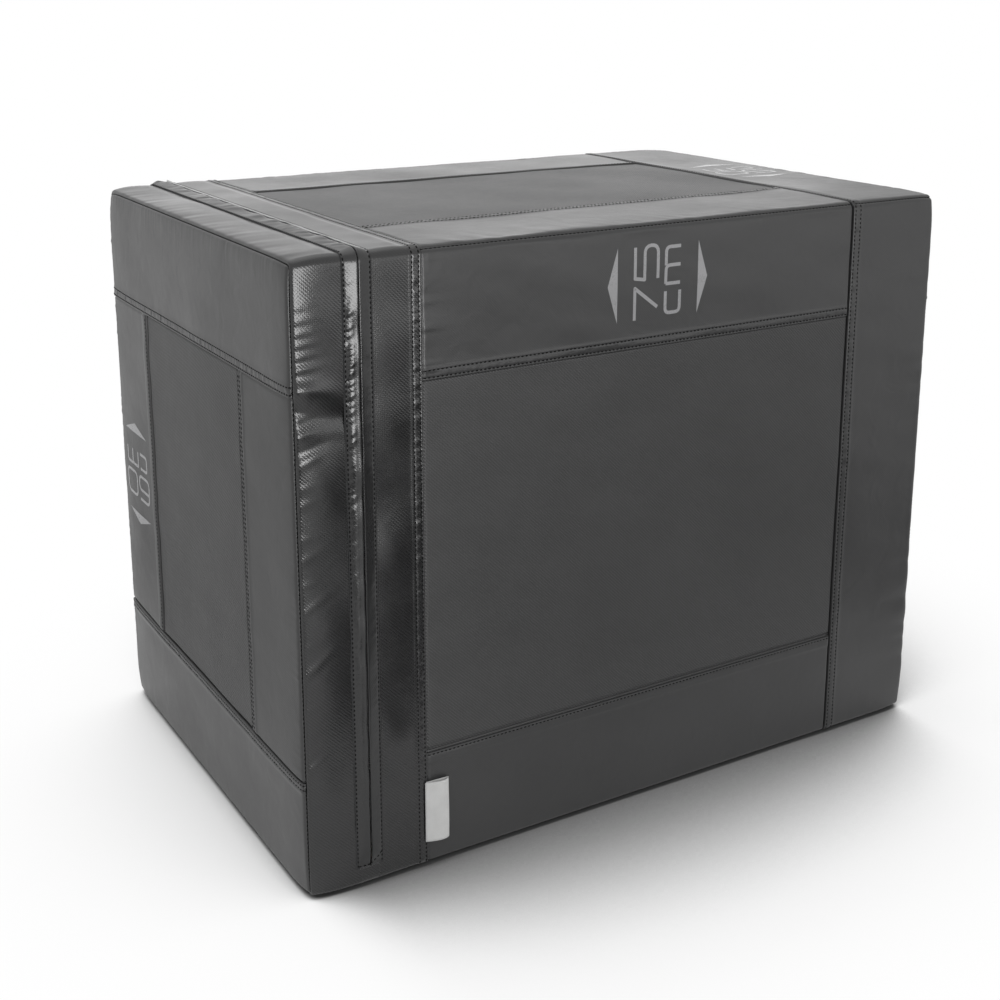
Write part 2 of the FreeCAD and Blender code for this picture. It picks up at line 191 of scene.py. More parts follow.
class Cover:
    """The rounded box that the cover is stretched over, in cloth coordinates.

    wrap: x along the box and p round it, from the lower front edge up the front, over the top, down the back and under.
    end: y and z over an end face. Points are the core's point plus the radius times the outward direction."""

    CORNER_DRAW, CORNER_REACH = 1.2 * MM, 20 * MM

    def __init__(self):
        s = sizes()
        self.l, self.d, self.h, self.r = s.length, s.depth, s.height, s.edge_radius
        arc, front, top = self.r * np.pi / 4, self.h - 2 * self.r, self.d - 2 * self.r
        runs = np.array([arc, front, 2 * arc, top, 2 * arc, front, 2 * arc, top, arc])
        self.knots = np.concatenate([[0], np.cumsum(runs)])
        self.angles = np.radians([225, 180, 180, 90, 90, 0, 0, -90, -90, -135])
        y, zl, zh = self.d / 2 - self.r, self.r, self.h - self.r
        self.ys = np.array([-y, -y, -y, -y, y, y, y, y, -y, -y])
        self.zs = np.array([zl, zl, zh, zh, zh, zh, zl, zl, zl, zl])
        self.arc, self.round = arc, self.knots[-1]
        self.front_end, self.top_end, self.back_end = (self.knots[i] + arc for i in (2, 4, 6))
        self.x_end, self.y_end = self.l / 2 - self.r + arc, self.d / 2 - self.r + arc
        self.z_low, self.z_high = self.r - arc, self.h - self.r + arc

    def soften(self, points):
        """Draws the eight corners in along their diagonals, by e to the minus square of the distance from each."""
        middle = np.array([0, 0, self.h / 2])
        side = np.where(points >= middle, 1.0, -1.0)
        corner = middle + side * np.array([self.l, self.d, self.h]) / 2
        away = np.linalg.norm(points - corner, axis=-1, keepdims=True)
        return points - side * (self.CORNER_DRAW * bump_at(away, 0, self.CORNER_REACH))

    # p at a height z on the front or the back, and at a depth y on the top or under the box.

    def front(self, z):
        return self.arc + z - self.r

    def top(self, y):
        return self.front_end + self.arc + y + self.d / 2 - self.r

    def back(self, z):
        return self.top_end + self.arc + self.h - self.r - z

    def under(self, y):
        return self.back_end + self.arc + self.d / 2 - self.r - y

    def over_top(self, p):
        """1 on the top and 0 on the front and the back, with an S curve at the two edges."""
        return ease((p - self.front_end) / (25 * MM)) * ease((self.top_end - p) / (25 * MM))

    def wrap(self, x, p):
        """Points and outward directions at x and p: the direction leans out at the box's ends and turns with p."""
        core, lean = fold(x, self.l / 2, self.r)
        p = np.mod(p, self.round)
        turn = np.interp(p, self.knots, self.angles)
        out = unit(stacked(lean, np.cos(turn), np.sin(turn)))
        core = stacked(core, np.interp(p, self.knots, self.ys), np.interp(p, self.knots, self.zs))
        return self.soften(core + self.r * out), out

    def end(self, side):
        """The same for an end face; in the corners the square of leans is drawn in to a disc, to meet the wrap."""

        def at(y, z):
            core_y, lean_y = fold(y, self.d / 2, self.r)
            core_z, lean_z = fold(z - self.h / 2, self.h / 2, self.r)
            lean_y, lean_z = np.broadcast_arrays(lean_y, lean_z)
            span = np.hypot(lean_y, lean_z)
            draw = np.where(span > 1e-9, np.maximum(abs(lean_y), abs(lean_z)) / np.maximum(span, 1e-9), 1.0)
            out = unit(stacked(side + 0 * span, lean_y * draw, lean_z * draw))
            core = stacked(side * (self.l / 2 - self.r) + 0 * span, core_y, core_z + self.h / 2)
            return self.soften(core + self.r * out), out

        return at


# ---------------------------------------------------------------- meshes

# A bead, as a coil's turn or a stitch is one: rings along it and points round each.
RINGS, ROUND = 5, 6


def grid_faces(rows, columns, loop=False):
    """Quads of a grid of points numbered row by row; with loop, the last column joins the first."""
    index = np.arange(rows * columns).reshape(rows, columns)
    if loop:
        index = np.concatenate([index, index[:, :1]], axis=1)
    return np.stack([index[:-1, :-1], index[1:, :-1], index[1:, 1:], index[:-1, 1:]], -1).reshape(-1, 4)


def bead_faces(count, turned):
    """Quads of many beads, one after the other; turned, they look the other way."""
    faces = grid_faces(RINGS, ROUND, True)
    faces = faces[:, ::-1] if turned else faces
    return (faces[None] + (np.arange(count) * RINGS * ROUND)[:, None, None]).reshape(-1, 4)


def mesh_piece(name, points, quads, materials, uv=None, slots=None):
    """A mesh object at the origin from arrays of points and quads, with its UV map in metres of cloth."""
    mesh = bpy.data.meshes.new(name)
    mesh.vertices.add(len(points))
    mesh.vertices.foreach_set("co", np.ascontiguousarray(points, np.float32).ravel())
    quads = np.ascontiguousarray(quads, np.int32)
    mesh.loops.add(quads.size)
    mesh.loops.foreach_set("vertex_index", quads.ravel())
    mesh.polygons.add(len(quads))
    mesh.polygons.foreach_set("loop_start", np.arange(0, quads.size, 4, dtype=np.int32))
    mesh.polygons.foreach_set("use_smooth", np.full(len(quads), True))
    if slots is not None:
        mesh.polygons.foreach_set("material_index", np.ascontiguousarray(slots, np.int32))
    if uv is not None:
        layer = mesh.uv_layers.new(name="Cloth")
        layer.data.foreach_set("uv", np.ascontiguousarray(uv[quads.ravel()], np.float32).ravel())
    for material in materials:
        mesh.materials.append(material)
    mesh.update(calc_edges=True)
    mesh.validate()
    piece = bpy.data.objects.new(name, mesh)
    bpy.context.scene.collection.objects.link(piece)
    return piece


def outward(points, quads, out):
    """The quads turned so that their faces look along the given outward directions."""
    middle = len(quads) // 2
    a, b, c, d = points[quads[middle]]
    return quads if np.dot(np.cross(c - a, d - b), out[quads[middle][0]]) > 0 else quads[:, ::-1]


def joined(grids):
    """Points and quads of one mesh from grids of points and outward directions."""
    points, quads, count = [], [], 0
    for placed, out in grids:
        flat = placed.reshape(-1, 3)
        points.append(flat)
        quads.append(outward(flat, grid_faces(*placed.shape[:2]), out.reshape(-1, 3)) + count)
        count += len(flat)
    return np.concatenate(points), np.concatenate(quads)


def cloth_piece(name, points, out, uv, thick, materials, loop=False, lined=False):
    """A sheet of cloth from a grid of outer points: the outer face, its edge turned in by the thickness, and, where it
    is lined, the inner face as well, which is the outer one moved in by the thickness."""
    rows, columns = points.shape[:2]
    flat, outs, uvs = points.reshape(-1, 3), out.reshape(-1, 3), uv.reshape(-1, 2)
    count = len(flat)
    faces = grid_faces(rows, columns, loop)
    index = np.arange(count).reshape(rows, columns)
    if loop:
        borders = [np.append(index[0], index[0, 0]), np.append(index[-1], index[-1, 0])[::-1]]
    else:
        ring = np.concatenate([index[0, :-1], index[:-1, -1], index[-1, :0:-1], index[:0:-1, 0]])
        borders = [np.append(ring, ring[0])]
    start, end = np.concatenate([b[:-1] for b in borders]), np.concatenate([b[1:] for b in borders])
    inner = np.arange(count) if lined else np.unique(start)
    lookup = np.zeros(count, int)
    lookup[inner] = np.arange(len(inner)) + count
    rim = np.stack([start, end, lookup[end], lookup[start]], -1)
    lining = faces[:, ::-1] + count if lined else faces[:0]
    quads = np.concatenate([faces, rim, lining])
    slots = np.repeat([0, 0, 1], [len(faces), len(rim), len(lining)])
    if outward(flat, faces, outs) is not faces:
        quads = quads[:, ::-1]
    points = np.concatenate([flat, flat[inner] - outs[inner] * thick])
    return mesh_piece(name, points, quads, materials, np.concatenate([uvs, uvs[inner]]), slots)


def carried_piece(name, profile, path, points, materials):
    """A closed profile carried along a path, from its points at every station of the path.
    The ends are closed by drawing their last ring in to its middle."""
    around = points.shape[1]
    first, last = (np.repeat(ring.mean(1, keepdims=True), around, 1) for ring in (points[:1], points[-1:]))
    points = np.concatenate([first, points, last])
    quads = grid_faces(len(points), around, True)
    flat = points.reshape(-1, 3)
    a, b, c, d = (flat[quads[:, i]] for i in range(4))
    centre = np.repeat(points.mean(1), around, 0)[quads[:, 0]]
    if (np.cross(c - a, d - b) * ((a + c) / 2 - centre)).sum() < 0:
        quads = quads[:, ::-1]
    v = np.concatenate([path[:1], path, path[-1:]])
    u = np.concatenate([[0], np.cumsum(np.hypot(*np.diff(profile, axis=0).T))])
    return mesh_piece(name, flat, quads, materials, stacked(u[None, :], v[:, None]).reshape(-1, 2))


# ---------------------------------------------------------------- cut pieces of the cover

# The cut pieces by name, and the stitches kept for each thread.
CUT, SEWN = {}, {}
# How far a piece runs under its neighbour's hem.
LAP = 6 * MM
# Distances of stitch rows from their border, in millimetres. The last row lies in the valley of an edge seam.
DOUBLE, SINGLE, LOW_DOUBLE, CLOSE_DOUBLE, VALLEY = (2.6, 9.4), (2.6,), (2.4, 7.0), (2.0, 5.6), (0.4,)
# Depths of the groove beside a neighbour's hem, in millimetres.
GROOVE, DEEP_GROOVE = 2.4, 2.8
# Lengths left free of stitches at the ends of a row.
FREE_HEM, FREE_EDGE = 1 * MM, 3 * MM
LEADS = {
    "hem": np.array([0, 0.3, 0.6, 1.0, 1.5, 2.1, 2.6, 3.2, 4.2, 5.6, 7.0, 8.2, 8.9, 9.4, 9.9, 10.8, 12.2, 14.0]) * MM,
    "edge": np.array([0, 0.5, 1.0, 1.6, 2.3, 3.2, 4.3, 5.6, 7.2, 9.0]) * MM,
    "tuck": np.array([0, 4.0, 5.2, 5.7, 6.1, 6.5, 6.9, 7.3, 7.8, 8.6, 10.0, 12.0]) * MM,
    "open": np.array([0, 1.0]) * MM,
}


def stations(start, end, first, last, step):
    """Cloth coordinates of the grid lines: close together at the two borders, evenly spaced between them."""
    a, b = LEADS[first], LEADS[last]
    count = max(3, int(np.ceil((end - b[-1] - start - a[-1]) / step)) + 1)
    return np.concatenate([start + a[:-1], np.linspace(start + a[-1], end - b[-1], count), (end - b[:-1])[::-1]])


class Border:
    """How one border of a cut piece is made up.

    hem: turned under and sewn down, with rows of stitches; edge: sewn to the next face along the box's edge;
    tuck: runs under the neighbour's hem; open: nothing. Gathers, gaps and reaches are in millimetres."""

    def __init__(self, kind, gather=0.0, wavelength=14.0, reach=14.0, slant=0.0, rows=DOUBLE, seed=1,
                 gap=0.5, soft=0.6):
        self.kind, self.rows, self.seed, self.gap, self.soft = kind, rows, seed, gap * MM, soft * MM
        self.gather, self.wavelength, self.reach, self.slant = gather * MM, wavelength * MM, reach * MM, slant

    def relief(self, d, t):
        """Height of the cloth at a distance d from the border, at t along it.

        A hem is raised over its width, rounded down at its fold and drawn in at its stitch rows. An edge seam is a
        narrow valley in a soft rounding. Gathers are ridges across the seam, uneven along it, that fade with the
        distance."""
        s = sizes()
        h = np.zeros(np.broadcast_shapes(d.shape, t.shape))
        if self.kind == "hem":
            h = h + s.hem_rise * (1 - ease((d - s.hem_width + 2 * MM) / (3 * MM)))
            h = h - (s.hem_rise + s.recess + 1.6 * MM) * np.clip(1 - d / (1.2 * MM), 0, 1) ** 2.4
            for row in self.rows:
                h = h - 0.42 * MM * bump_at(d, row * MM, 0.9 * MM)
            if len(self.rows) > 1:
                h = h + 0.3 * MM * ripple(t, 9 * MM, self.seed + 20) * bump_at(d, 6 * MM, 2.6 * MM)
        elif self.kind == "edge":
            h = h - 1.3 * MM * np.exp(-d / (1.1 * MM)) - self.soft * np.exp(-d / (15 * MM))
        elif self.kind == "tuck":
            h = h - 0.9 * MM * (1 - ease((d - 4 * MM) / (5 * MM)))
            h = h - self.gap * bump_at(d, LAP + 0.7 * MM, 0.55 * MM + 0.25 * self.gap)
        if self.gather:
            across = ridges(t + self.slant * d, self.wavelength, self.seed)
            patches = 0.3 + 0.7 * ease(0.5 + 0.6 * ripple(t, 7 * self.wavelength, self.seed + 50))
            fading = (1 - np.exp(-d / (2.2 * MM))) * np.exp(-((d / self.reach) ** 1.3))
            h = h + s.gather * self.gather * across * patches * fading
        return h


def edge(gather, wavelength, reach, seed, slant=0.0, soft=0.6):
    return Border("edge", gather, wavelength, reach, slant, seed=seed, soft=soft)


def hem(rows=DOUBLE, gather=0.0, wavelength=12.0, reach=12.0, seed=1):
    return Border("hem", gather, wavelength, reach, rows=rows, seed=seed)


def tuck(gather=0.0, wavelength=12.0, reach=14.0, seed=1, gap=0.5):
    return Border("tuck", gather, wavelength, reach, seed=seed, gap=gap)


def deep():
    """A tuck beside a thick hem."""
    return tuck(gap=DEEP_GROOVE)


class Patch:
    """One cut piece of the cover: a rectangle in the cloth coordinates of a face, with its four borders."""

    def __init__(self, name, base, a, b, borders, level=0.0, crown=0.0, waves=0.35, extra=None, loop=False):
        self.name, self.base, self.a, self.b, self.loop = name, base, a, b, loop
        self.borders, self.level, self.crown, self.waves, self.extra = borders, level, crown, waves, extra
        CUT[name] = self

    def flat(self):
        return self.a[1] - self.a[0], self.b[1] - self.b[0]

    def place(self, a, b, lift=0.0):
        """Outer points and outward directions: the box's surface moved out by the borders' relief, a slow waviness and
        a crown, which is one less the fourth power of the distance from the middle in both directions."""
        a, b = np.broadcast_arrays(np.asarray(a, float), np.asarray(b, float))
        points, out = self.base(a, b)
        (a0, a1), (b0, b1) = self.a, self.b
        h = np.full(a.shape, self.level + lift)
        near = np.full(a.shape, 1.0)
        for border, d, t in zip(self.borders, (a - a0, a1 - a, b - b0, b1 - b), (b, b, a, a)):
            h = h + border.relief(d, t)
            if border.kind != "open":
                near = np.minimum(near, d)
        calm = ease(near / (12 * MM))
        h = h + self.waves * MM * (sway(points, 0.11, 3) + 0.5 * sway(points, 0.05, 4)) * calm
        if self.crown:
            u, v = 2 * (a - a0) / (a1 - a0) - 1, 2 * (b - b0) / (b1 - b0) - 1
            h = h + self.crown * MM * (1 - u**4) * (1 - v**4)
        if self.extra:
            h = h + self.extra(a, b, points)
        return points + out * h[..., None], out

    def make(self, step, materials, lined=False):
        """The piece's mesh on a grid that is close where the borders are; the steps between are in millimetres."""
        kinds = [border.kind for border in self.borders]
        a = stations(*self.a, kinds[0], kinds[1], step[0] * MM)
        if self.loop:
            b = np.linspace(*self.b, int((self.b[1] - self.b[0]) / (step[1] * MM)) + 1)[:-1]
        else:
            b = stations(*self.b, kinds[2], kinds[3], step[1] * MM)
        points, out = self.place(a[:, None], b[None, :])
        uv = stacked(a[:, None], b[None, :])
        return cloth_piece(self.name, points, out, uv, sizes().cloth, materials, self.loop, lined)

    def sew(self, group, free, *sides, rows=None):
        """Lays stitch rows along borders, at their own distances or those given, and keeps them for the thread."""
        pitch = sizes().stitch_pitch
        for side in sides:
            across, along = (self.a, self.b) if side < 2 else (self.b, self.a)
            n = max(1, int((along[1] - along[0] - 2 * free) / pitch))
            t = along[0] + free + (np.arange(n) + 0.5) * pitch
            for row in rows or self.borders[side].rows:
                q = np.full(n, across[0] + row * MM if side % 2 == 0 else across[1] - row * MM)
                self.stitch(group, *((q, t, (0, 1)) if side < 2 else (t, q, (1, 0))))

    def stitch(self, group, a, b, heading):
        """Stitches at the cloth points a, b, heading along a cloth direction."""
        middle, out = self.place(a, b)
        ahead, _ = self.place(a + heading[0] * MM, b + heading[1] * MM)
        along = ahead - middle
        along = along - (along * out).sum(-1, keepdims=True) * out
        SEWN.setdefault(group, []).append((middle, unit(along), out))


# ---------------------------------------------------------------- finishes


def fill(tree, node, inputs):
    """Sets a node's inputs, given by name or as i and a number. One whose value is a socket is linked to it."""
    for key, value in inputs.items():
        numbered = key[0] == "i" and key[1:].isdigit()
        socket = node.inputs[int(key[1:]) if numbered else key.replace("_", " ")]
        if isinstance(value, bpy.types.NodeSocket):
            tree.links.new(value, socket)
        else:
            socket.default_value = value


class Nodes:
    """Makes the nodes of one tree."""

    def __init__(self, tree):
        self.tree = tree

    def make(self, kind, settings=None, **inputs):
        node = self.tree.nodes.new("ShaderNode" + kind)
        for key, value in (settings or {}).items():
            setattr(node, key, value)
        fill(self.tree, node, inputs)
        return node

    def maths(self, operation, *values):
        return self.make("Math", {"operation": operation}, **{f"i{i}": v for i, v in enumerate(values)}).outputs[0]

    def times(self, a, b):
        return self.maths("MULTIPLY", a, b)

    def sum(self, a, share_a, b, share_b):
        """Two values added, each times its share."""
        return self.maths("ADD", self.times(a, share_a), self.times(b, share_b))

    def spread(self, value, lowest, highest):
        """A noise's usual values, from 0.3 to 0.7, spread over a range."""
        return self.make("MapRange", Value=value, i1=0.3, i2=0.7, i3=lowest, i4=highest).outputs["Result"]

    def between(self, value, start, end, first, last):
        """From the first to the last result in an S curve, where the value goes from start to end."""
        curve = {"interpolation_type": "SMOOTHSTEP"}
        return self.make("MapRange", curve, Value=value, i1=start, i2=end, i3=first, i4=last).outputs["Result"]

    def seen(self):
        """Whether a ray comes from the camera, and whether from the camera, a reflection or a transmission."""
        rays = self.make("LightPath").outputs
        mirrored = self.maths("MAXIMUM", rays["Is Glossy Ray"], rays["Is Transmission Ray"])
        return rays["Is Camera Ray"], self.maths("MAXIMUM", rays["Is Camera Ray"], mirrored)


class Recipe(Nodes):
    """A material with one Principled shader, and what its pattern is put together from."""

    def __init__(self, name, colour, roughness, **fixed):
        self.material = bpy.data.materials.new(name)
        self.material.use_nodes = True
        super().__init__(self.material.node_tree)
        self.shader, self.colour = self.tree.nodes["Principled BSDF"], colour
        self.set(Base_Color=(*colour, 1), Roughness=roughness, **fixed)
        self.place = self.make("TexCoord").outputs["Object"]

    def set(self, **inputs):
        fill(self.tree, self.shader, inputs)

    def noise(self, scale, **more):
        return self.make("TexNoise", Vector=self.place, Scale=scale, **more).outputs["Fac"]

    def cells(self, feature, scale):
        return self.make("TexVoronoi", {"feature": feature}, Vector=self.place, Scale=scale).outputs["Distance"]

    def cloth(self):
        """The cloth's own u and v, in metres."""
        cut = self.make("SeparateXYZ", Vector=self.make("UVMap", {"uv_map": "Cloth"}).outputs["UV"])
        return cut.outputs["X"], cut.outputs["Y"]

    def wave(self, value, pitch):
        return self.maths("SINE", self.times(value, 2 * math.pi / pitch))

    def shade(self, factor, dark, light):
        """The colour from dark to light shares of itself, by a factor from 0 to 1."""
        ramp = self.make("ValToRGB", Fac=factor)
        for stop, (place, share) in zip(ramp.color_ramp.elements, ((0.3, dark), (0.7, light))):
            stop.position = place
            stop.color = (*[min(1.0, c * share) for c in self.colour], 1)
        self.set(Base_Color=ramp.outputs["Color"])

    def bump(self, *layers, strength=1.0):
        """Bumps of the given depths and heights, each over the one before."""
        normal = {}
        for depth, height in layers:
            layer = self.make("Bump", Strength=strength, Distance=depth, Height=height, **normal)
            normal = {"Normal": layer.outputs["Normal"]}
        self.set(**normal)


def coated_cloth(name, colour, roughness, weave, grain, pitch, creases, calm=None, groove_shade=0.0):
    """Vinyl-coated cloth: a twill that shows through the coat, fine leather grain, soft creases and a varied gloss.

    The twill is the sine of u plus v, its strength varied by the sine of u less v, on the cloth's own UV map in metres.
    The given share of it is also painted into the tone: the grooves are darkened as painted shade, and they are
    duller than the floats as well. Between the two lengths v of calm the coat is thicker and duller, and little of the
    twill and creases shows."""
    m = Recipe(name, colour, roughness, IOR=1.5)
    u, v = m.cloth()
    twill, floats = m.wave(m.maths("ADD", u, v), pitch), m.wave(m.maths("SUBTRACT", u, v), pitch)
    threads = m.times(twill, m.maths("ADD", m.times(floats, 0.4), 0.6))
    crease = m.noise(38.0, Detail=2.0, Roughness=0.45, Distortion=0.8)
    tone = m.sum(m.noise(6.0, Detail=3.0, Roughness=0.55), 0.75, m.noise(70.0, Detail=4.0, Roughness=0.6), 0.25)
    gloss = m.spread(tone, roughness - 0.05, roughness + 0.05)
    if calm:
        begun = m.between(v, calm[0] - 0.02, calm[0] + 0.02, 0.0, 0.85)
        covered = m.times(begun, m.between(v, calm[1] - 0.02, calm[1] + 0.02, 1.0, 0.0))
        bare = m.maths("SUBTRACT", 1.0, covered)
        threads, crease = m.times(threads, bare), m.times(crease, bare)
        gloss = m.maths("ADD", gloss, m.times(covered, 0.16))
    cloudy = 0.14
    contrast = cloudy + groove_shade
    if groove_shade:
        # Painted shade: the twill's grooves are darkened in the tone, as if in their own shade.
        woven = m.maths("ADD", m.times(threads, 0.2 * groove_shade / contrast), 0.5 * groove_shade / contrast)
        tone = m.maths("ADD", m.times(tone, cloudy / contrast), woven)
        gloss = m.maths("SUBTRACT", gloss, m.times(threads, 0.05 * groove_shade))
    m.shade(tone, 1 - contrast, 1 + contrast)
    m.set(Roughness=gloss)
    m.bump((creases, crease), (weave, threads), (grain, m.cells("F1", 1100.0)))
    return m.material


def plain_weave(name, colour, roughness, pitch, depth, **fixed):
    """Thin woven cloth: the product of two crossing sines on the UV map, in colour and in bump."""
    m = Recipe(name, colour, roughness, **fixed)
    warp, weft = (m.wave(along, pitch) for along in m.cloth())
    threads = m.maths("ADD", m.times(m.times(warp, weft), 0.5), 0.5)
    m.shade(m.sum(threads, 0.5, m.noise(60.0, Detail=4.0), 0.5), 0.82, 1.06)
    m.bump((depth, threads))
    return m.material


def speckled(name, colour, roughness, scale, depth, dark, light, **fixed):
    """A solid finish: two sizes of noise in its colour, gloss and bump, for thread, ink, nylon and blackened metal."""
    m = Recipe(name, colour, roughness, **fixed)
    fine = m.noise(scale, Detail=4.0)
    tone = m.sum(fine, 0.6, m.noise(scale / 12, Detail=2.0), 0.4)
    m.shade(tone, dark, light)
    m.set(Roughness=m.spread(tone, max(0.05, roughness - 0.08), min(1.0, roughness + 0.08)))
    m.bump((depth, fine))
    return m.material


def cut_foam(name, colour):
    """Cut closed-cell foam: a net of cell walls, sparse larger pores and a slightly yellowed tone."""
    m = Recipe(name, colour, 0.85, Subsurface_Weight=0.05)
    walls = m.maths("MINIMUM", m.times(m.cells("DISTANCE_TO_EDGE", 420.0), 4.0), m.times(m.cells("F1", 150.0), 3.0))
    m.shade(m.sum(walls, 0.35, m.noise(14.0, Detail=4.0), 0.6), 0.72, 1.06)
    m.bump((0.6 * MM, walls))
    return m.material


def birch_ply(name, colour, across):
    """Plywood: long grain from stretched noise on the faces, and rings of the plies across, along one axis."""
    m = Recipe(name, colour, 0.6)
    stretch = [14.0, 14.0, 14.0]
    stretch[(across + 1) % 3] = 1.6
    stretched = m.make("Mapping", Vector=m.place, Scale=stretch).outputs["Vector"]
    grain = m.make("TexNoise", Vector=stretched, Scale=6.0, Detail=6.0, Distortion=1.2).outputs["Fac"]
    plies = m.wave(m.make("SeparateXYZ", Vector=m.place).outputs["XYZ"[across]], 4 * MM)
    m.shade(m.sum(grain, 0.8, plies, 0.08), 0.7, 1.12)
    m.bump((0.3 * MM, grain), strength=0.5)
    return m.material


FINISH = {}
# Depth of the vinyl's leather grain, and the share of the twill that is painted into the tone as shade in its grooves.
GRAIN, TWILL_GROOVE_SHADE = 3e-5, 0.55


def finish(key):
    """Each finish is made once, when a piece first asks for it."""
    c, box = colours(), Cover()
    top = (box.front_end, box.top_end)
    makers = {
        "vinyl": lambda: coated_cloth("vinyl_band", c.vinyl, 0.39, 2e-5, GRAIN, 2.4 * MM, 4e-4),
        "gloss": lambda: coated_cloth("vinyl_gusset", c.gusset, 0.23, 4.5e-5, GRAIN, 3.4 * MM, 2e-4, top, TWILL_GROOVE_SHADE),
        "lip": lambda: coated_cloth("vinyl_lip", c.gusset, 0.21, 2e-5, GRAIN, 3.4 * MM, 1e-4, top),
        "strip": lambda: coated_cloth("vinyl_strip", c.vinyl, 0.47, 3e-5, GRAIN, 2.4 * MM, 4e-4),
        "panel": lambda: coated_cloth("woven_panel", c.panel, 0.5, 1.4e-4, 2e-5, 3.3 * MM, 3e-4, None, TWILL_GROOVE_SHADE),
        "backing": lambda: plain_weave("knit_backing", c.backing, 0.9, 1.6 * MM, 2e-4),
        "thread": lambda: speckled("sewing_thread", c.thread, 0.85, 1500.0, 1e-4, 0.6, 1.5, Specular_IOR_Level=0.08),
        "ink": lambda: speckled("printed_mark", c.print_ink, 0.3, 900.0, 2e-5, 0.93, 1.05),
        "tag": lambda: plain_weave("woven_tag", c.label, 0.75, 0.9 * MM, 1e-4, Sheen_Weight=0.2),
        "tape": lambda: plain_weave("zip_tape", c.zip_tape, 0.8, 1.0 * MM, 2e-4),
        "coil": lambda: speckled("zip_coil", c.zip_coil, 0.38, 700.0, 3e-5, 0.8, 1.2),
        "metal": lambda: speckled("zip_metal", c.slider, 0.34, 500.0, 2e-5, 0.8, 1.1, Metallic=1.0),
        "foam": lambda: cut_foam("foam", c.foam),
        "ply0": lambda: birch_ply("plywood_end", c.plywood, 0),
        "ply1": lambda: birch_ply("plywood_side", c.plywood, 1),
        "ply2": lambda: birch_ply("plywood_flat", c.plywood, 2),
    }
    if key not in FINISH:
        FINISH[key] = makers[key]()
    return FINISH[key]


def recoat(node, key):
    """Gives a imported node's own mesh a finish."""
    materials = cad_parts[node].data.materials
    materials.clear()
    materials.append(finish(key))


def fit(piece, body, nodes):
    """Fits a piece in the place of its nodes and hides them: a piece that crosses the hinge keeps the place its points
    are given in, any other is attached to the empty of its body."""
    if body == "across_hinge":
        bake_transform(piece)
    else:
        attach(piece, body)
    if nodes:
        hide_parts(*nodes)
    return piece


def dress(cover, node, body, a, b, borders, foam, step, lined=False, **more):
    """Cuts one piece of the cover, makes it and fits it in the place of its node."""
    woven = node.endswith("panel")
    sunk = (sizes().recess if woven else 0.0) + (1.3 * MM if node.startswith("bottom_") else 0.0)
    patch = Patch("cover_" + node, cover, a, b, borders, level=-sunk, **more)
    outer = finish("panel" if woven else "strip" if node in ("flap_front_strip", "right_front_strip") else "vinyl")
    piece = patch.make(step, [outer, finish("backing")] if lined else [outer], lined)
    fit(piece, body, [node])
    return patch


# ---------------------------------------------------------------- operators

# Grid steps of panels, and how far a panel bulges, in millimetres.
PANEL_STEP, PANEL_CROWN = (4.5, 4.5), 0.8


class Dressing(bpy.types.Operator):
    """What the box's operators share."""

    bl_options = {"REGISTER", "UNDO"}

    @classmethod
    def poll(cls, context):
        return context.scene is not None


class JUMPBOX_OT_front_and_back(Dressing):
    """Covers of the front and the back: two bands, the far band and a woven panel each"""

    bl_idname = "jump_box.front_and_back"
    bl_label = "Front and Back Covers"

    def execute(self, context):
        s, box = sizes(), Cover()
        inner, outer = (s.seam_left, s.seam_right + LAP), (s.seam_right, box.x_end)
        for face, foam, seed in (("front", "foam_front", 10), ("back", "foam_back", 30)):
            rises = face == "front"
            at, foot, head = (box.front, 0.0, box.front_end) if rises else (box.back, box.back_end, box.top_end)
            low_side, high_side = (2, 3) if rises else (3, 2)
            thread = "thread_" + face

            def cut(name, x, z, left, right, bottom, top, step, **more):
                """A piece between two heights. Down the back the cloth runs the other way round."""
                p = (foot if z[0] is None else at(z[0]), head if z[1] is None else at(z[1]))
                borders = [left, right, bottom, top] if rises else [left, right, top, bottom]
                p = p if rises else p[::-1]
                return dress(box.wrap, f"{face}_{name}", "box_body", x, p, borders, foam, step, **more)

            top = cut("top_band", inner, (s.seam_high - 1 * MM, None), tuck(1.3, 11, 17, seed), deep(),
                      hem(), edge(0.3, 16, 12, seed + 1), (2.5, 3.5))
            top.sew(thread, LAP, low_side)
            top.sew(thread, LAP, high_side, rows=VALLEY)
            base = cut("bottom_band", inner, (None, s.seam_low - 2 * MM), tuck(0.3, 12, 12, seed + 2), deep(),
                       edge(0.3, 14, 10, seed + 3), hem(SINGLE), (2.8, 3.5))
            base.sew(thread, LAP, high_side)
            far = cut("right_band", outer, (None, None), hem(DOUBLE, 0.15, 16, 10, seed + 4),
                      edge(1.0, 60, 18, seed + 5), edge(0.25, 16, 10, seed + 6), edge(0.3, 18, 12, seed + 7),
                      (3.5, 2.8))
            far.sew(thread, FREE_HEM, 0)
            far.sew(thread, FREE_EDGE, 1, high_side, rows=VALLEY)
            cut("centre_panel", inner, (s.seam_low - LAP, s.seam_high + LAP), tuck(), deep(),
                tuck(gap=GROOVE), tuck(), PANEL_STEP, crown=PANEL_CROWN)
        return {"FINISHED"}


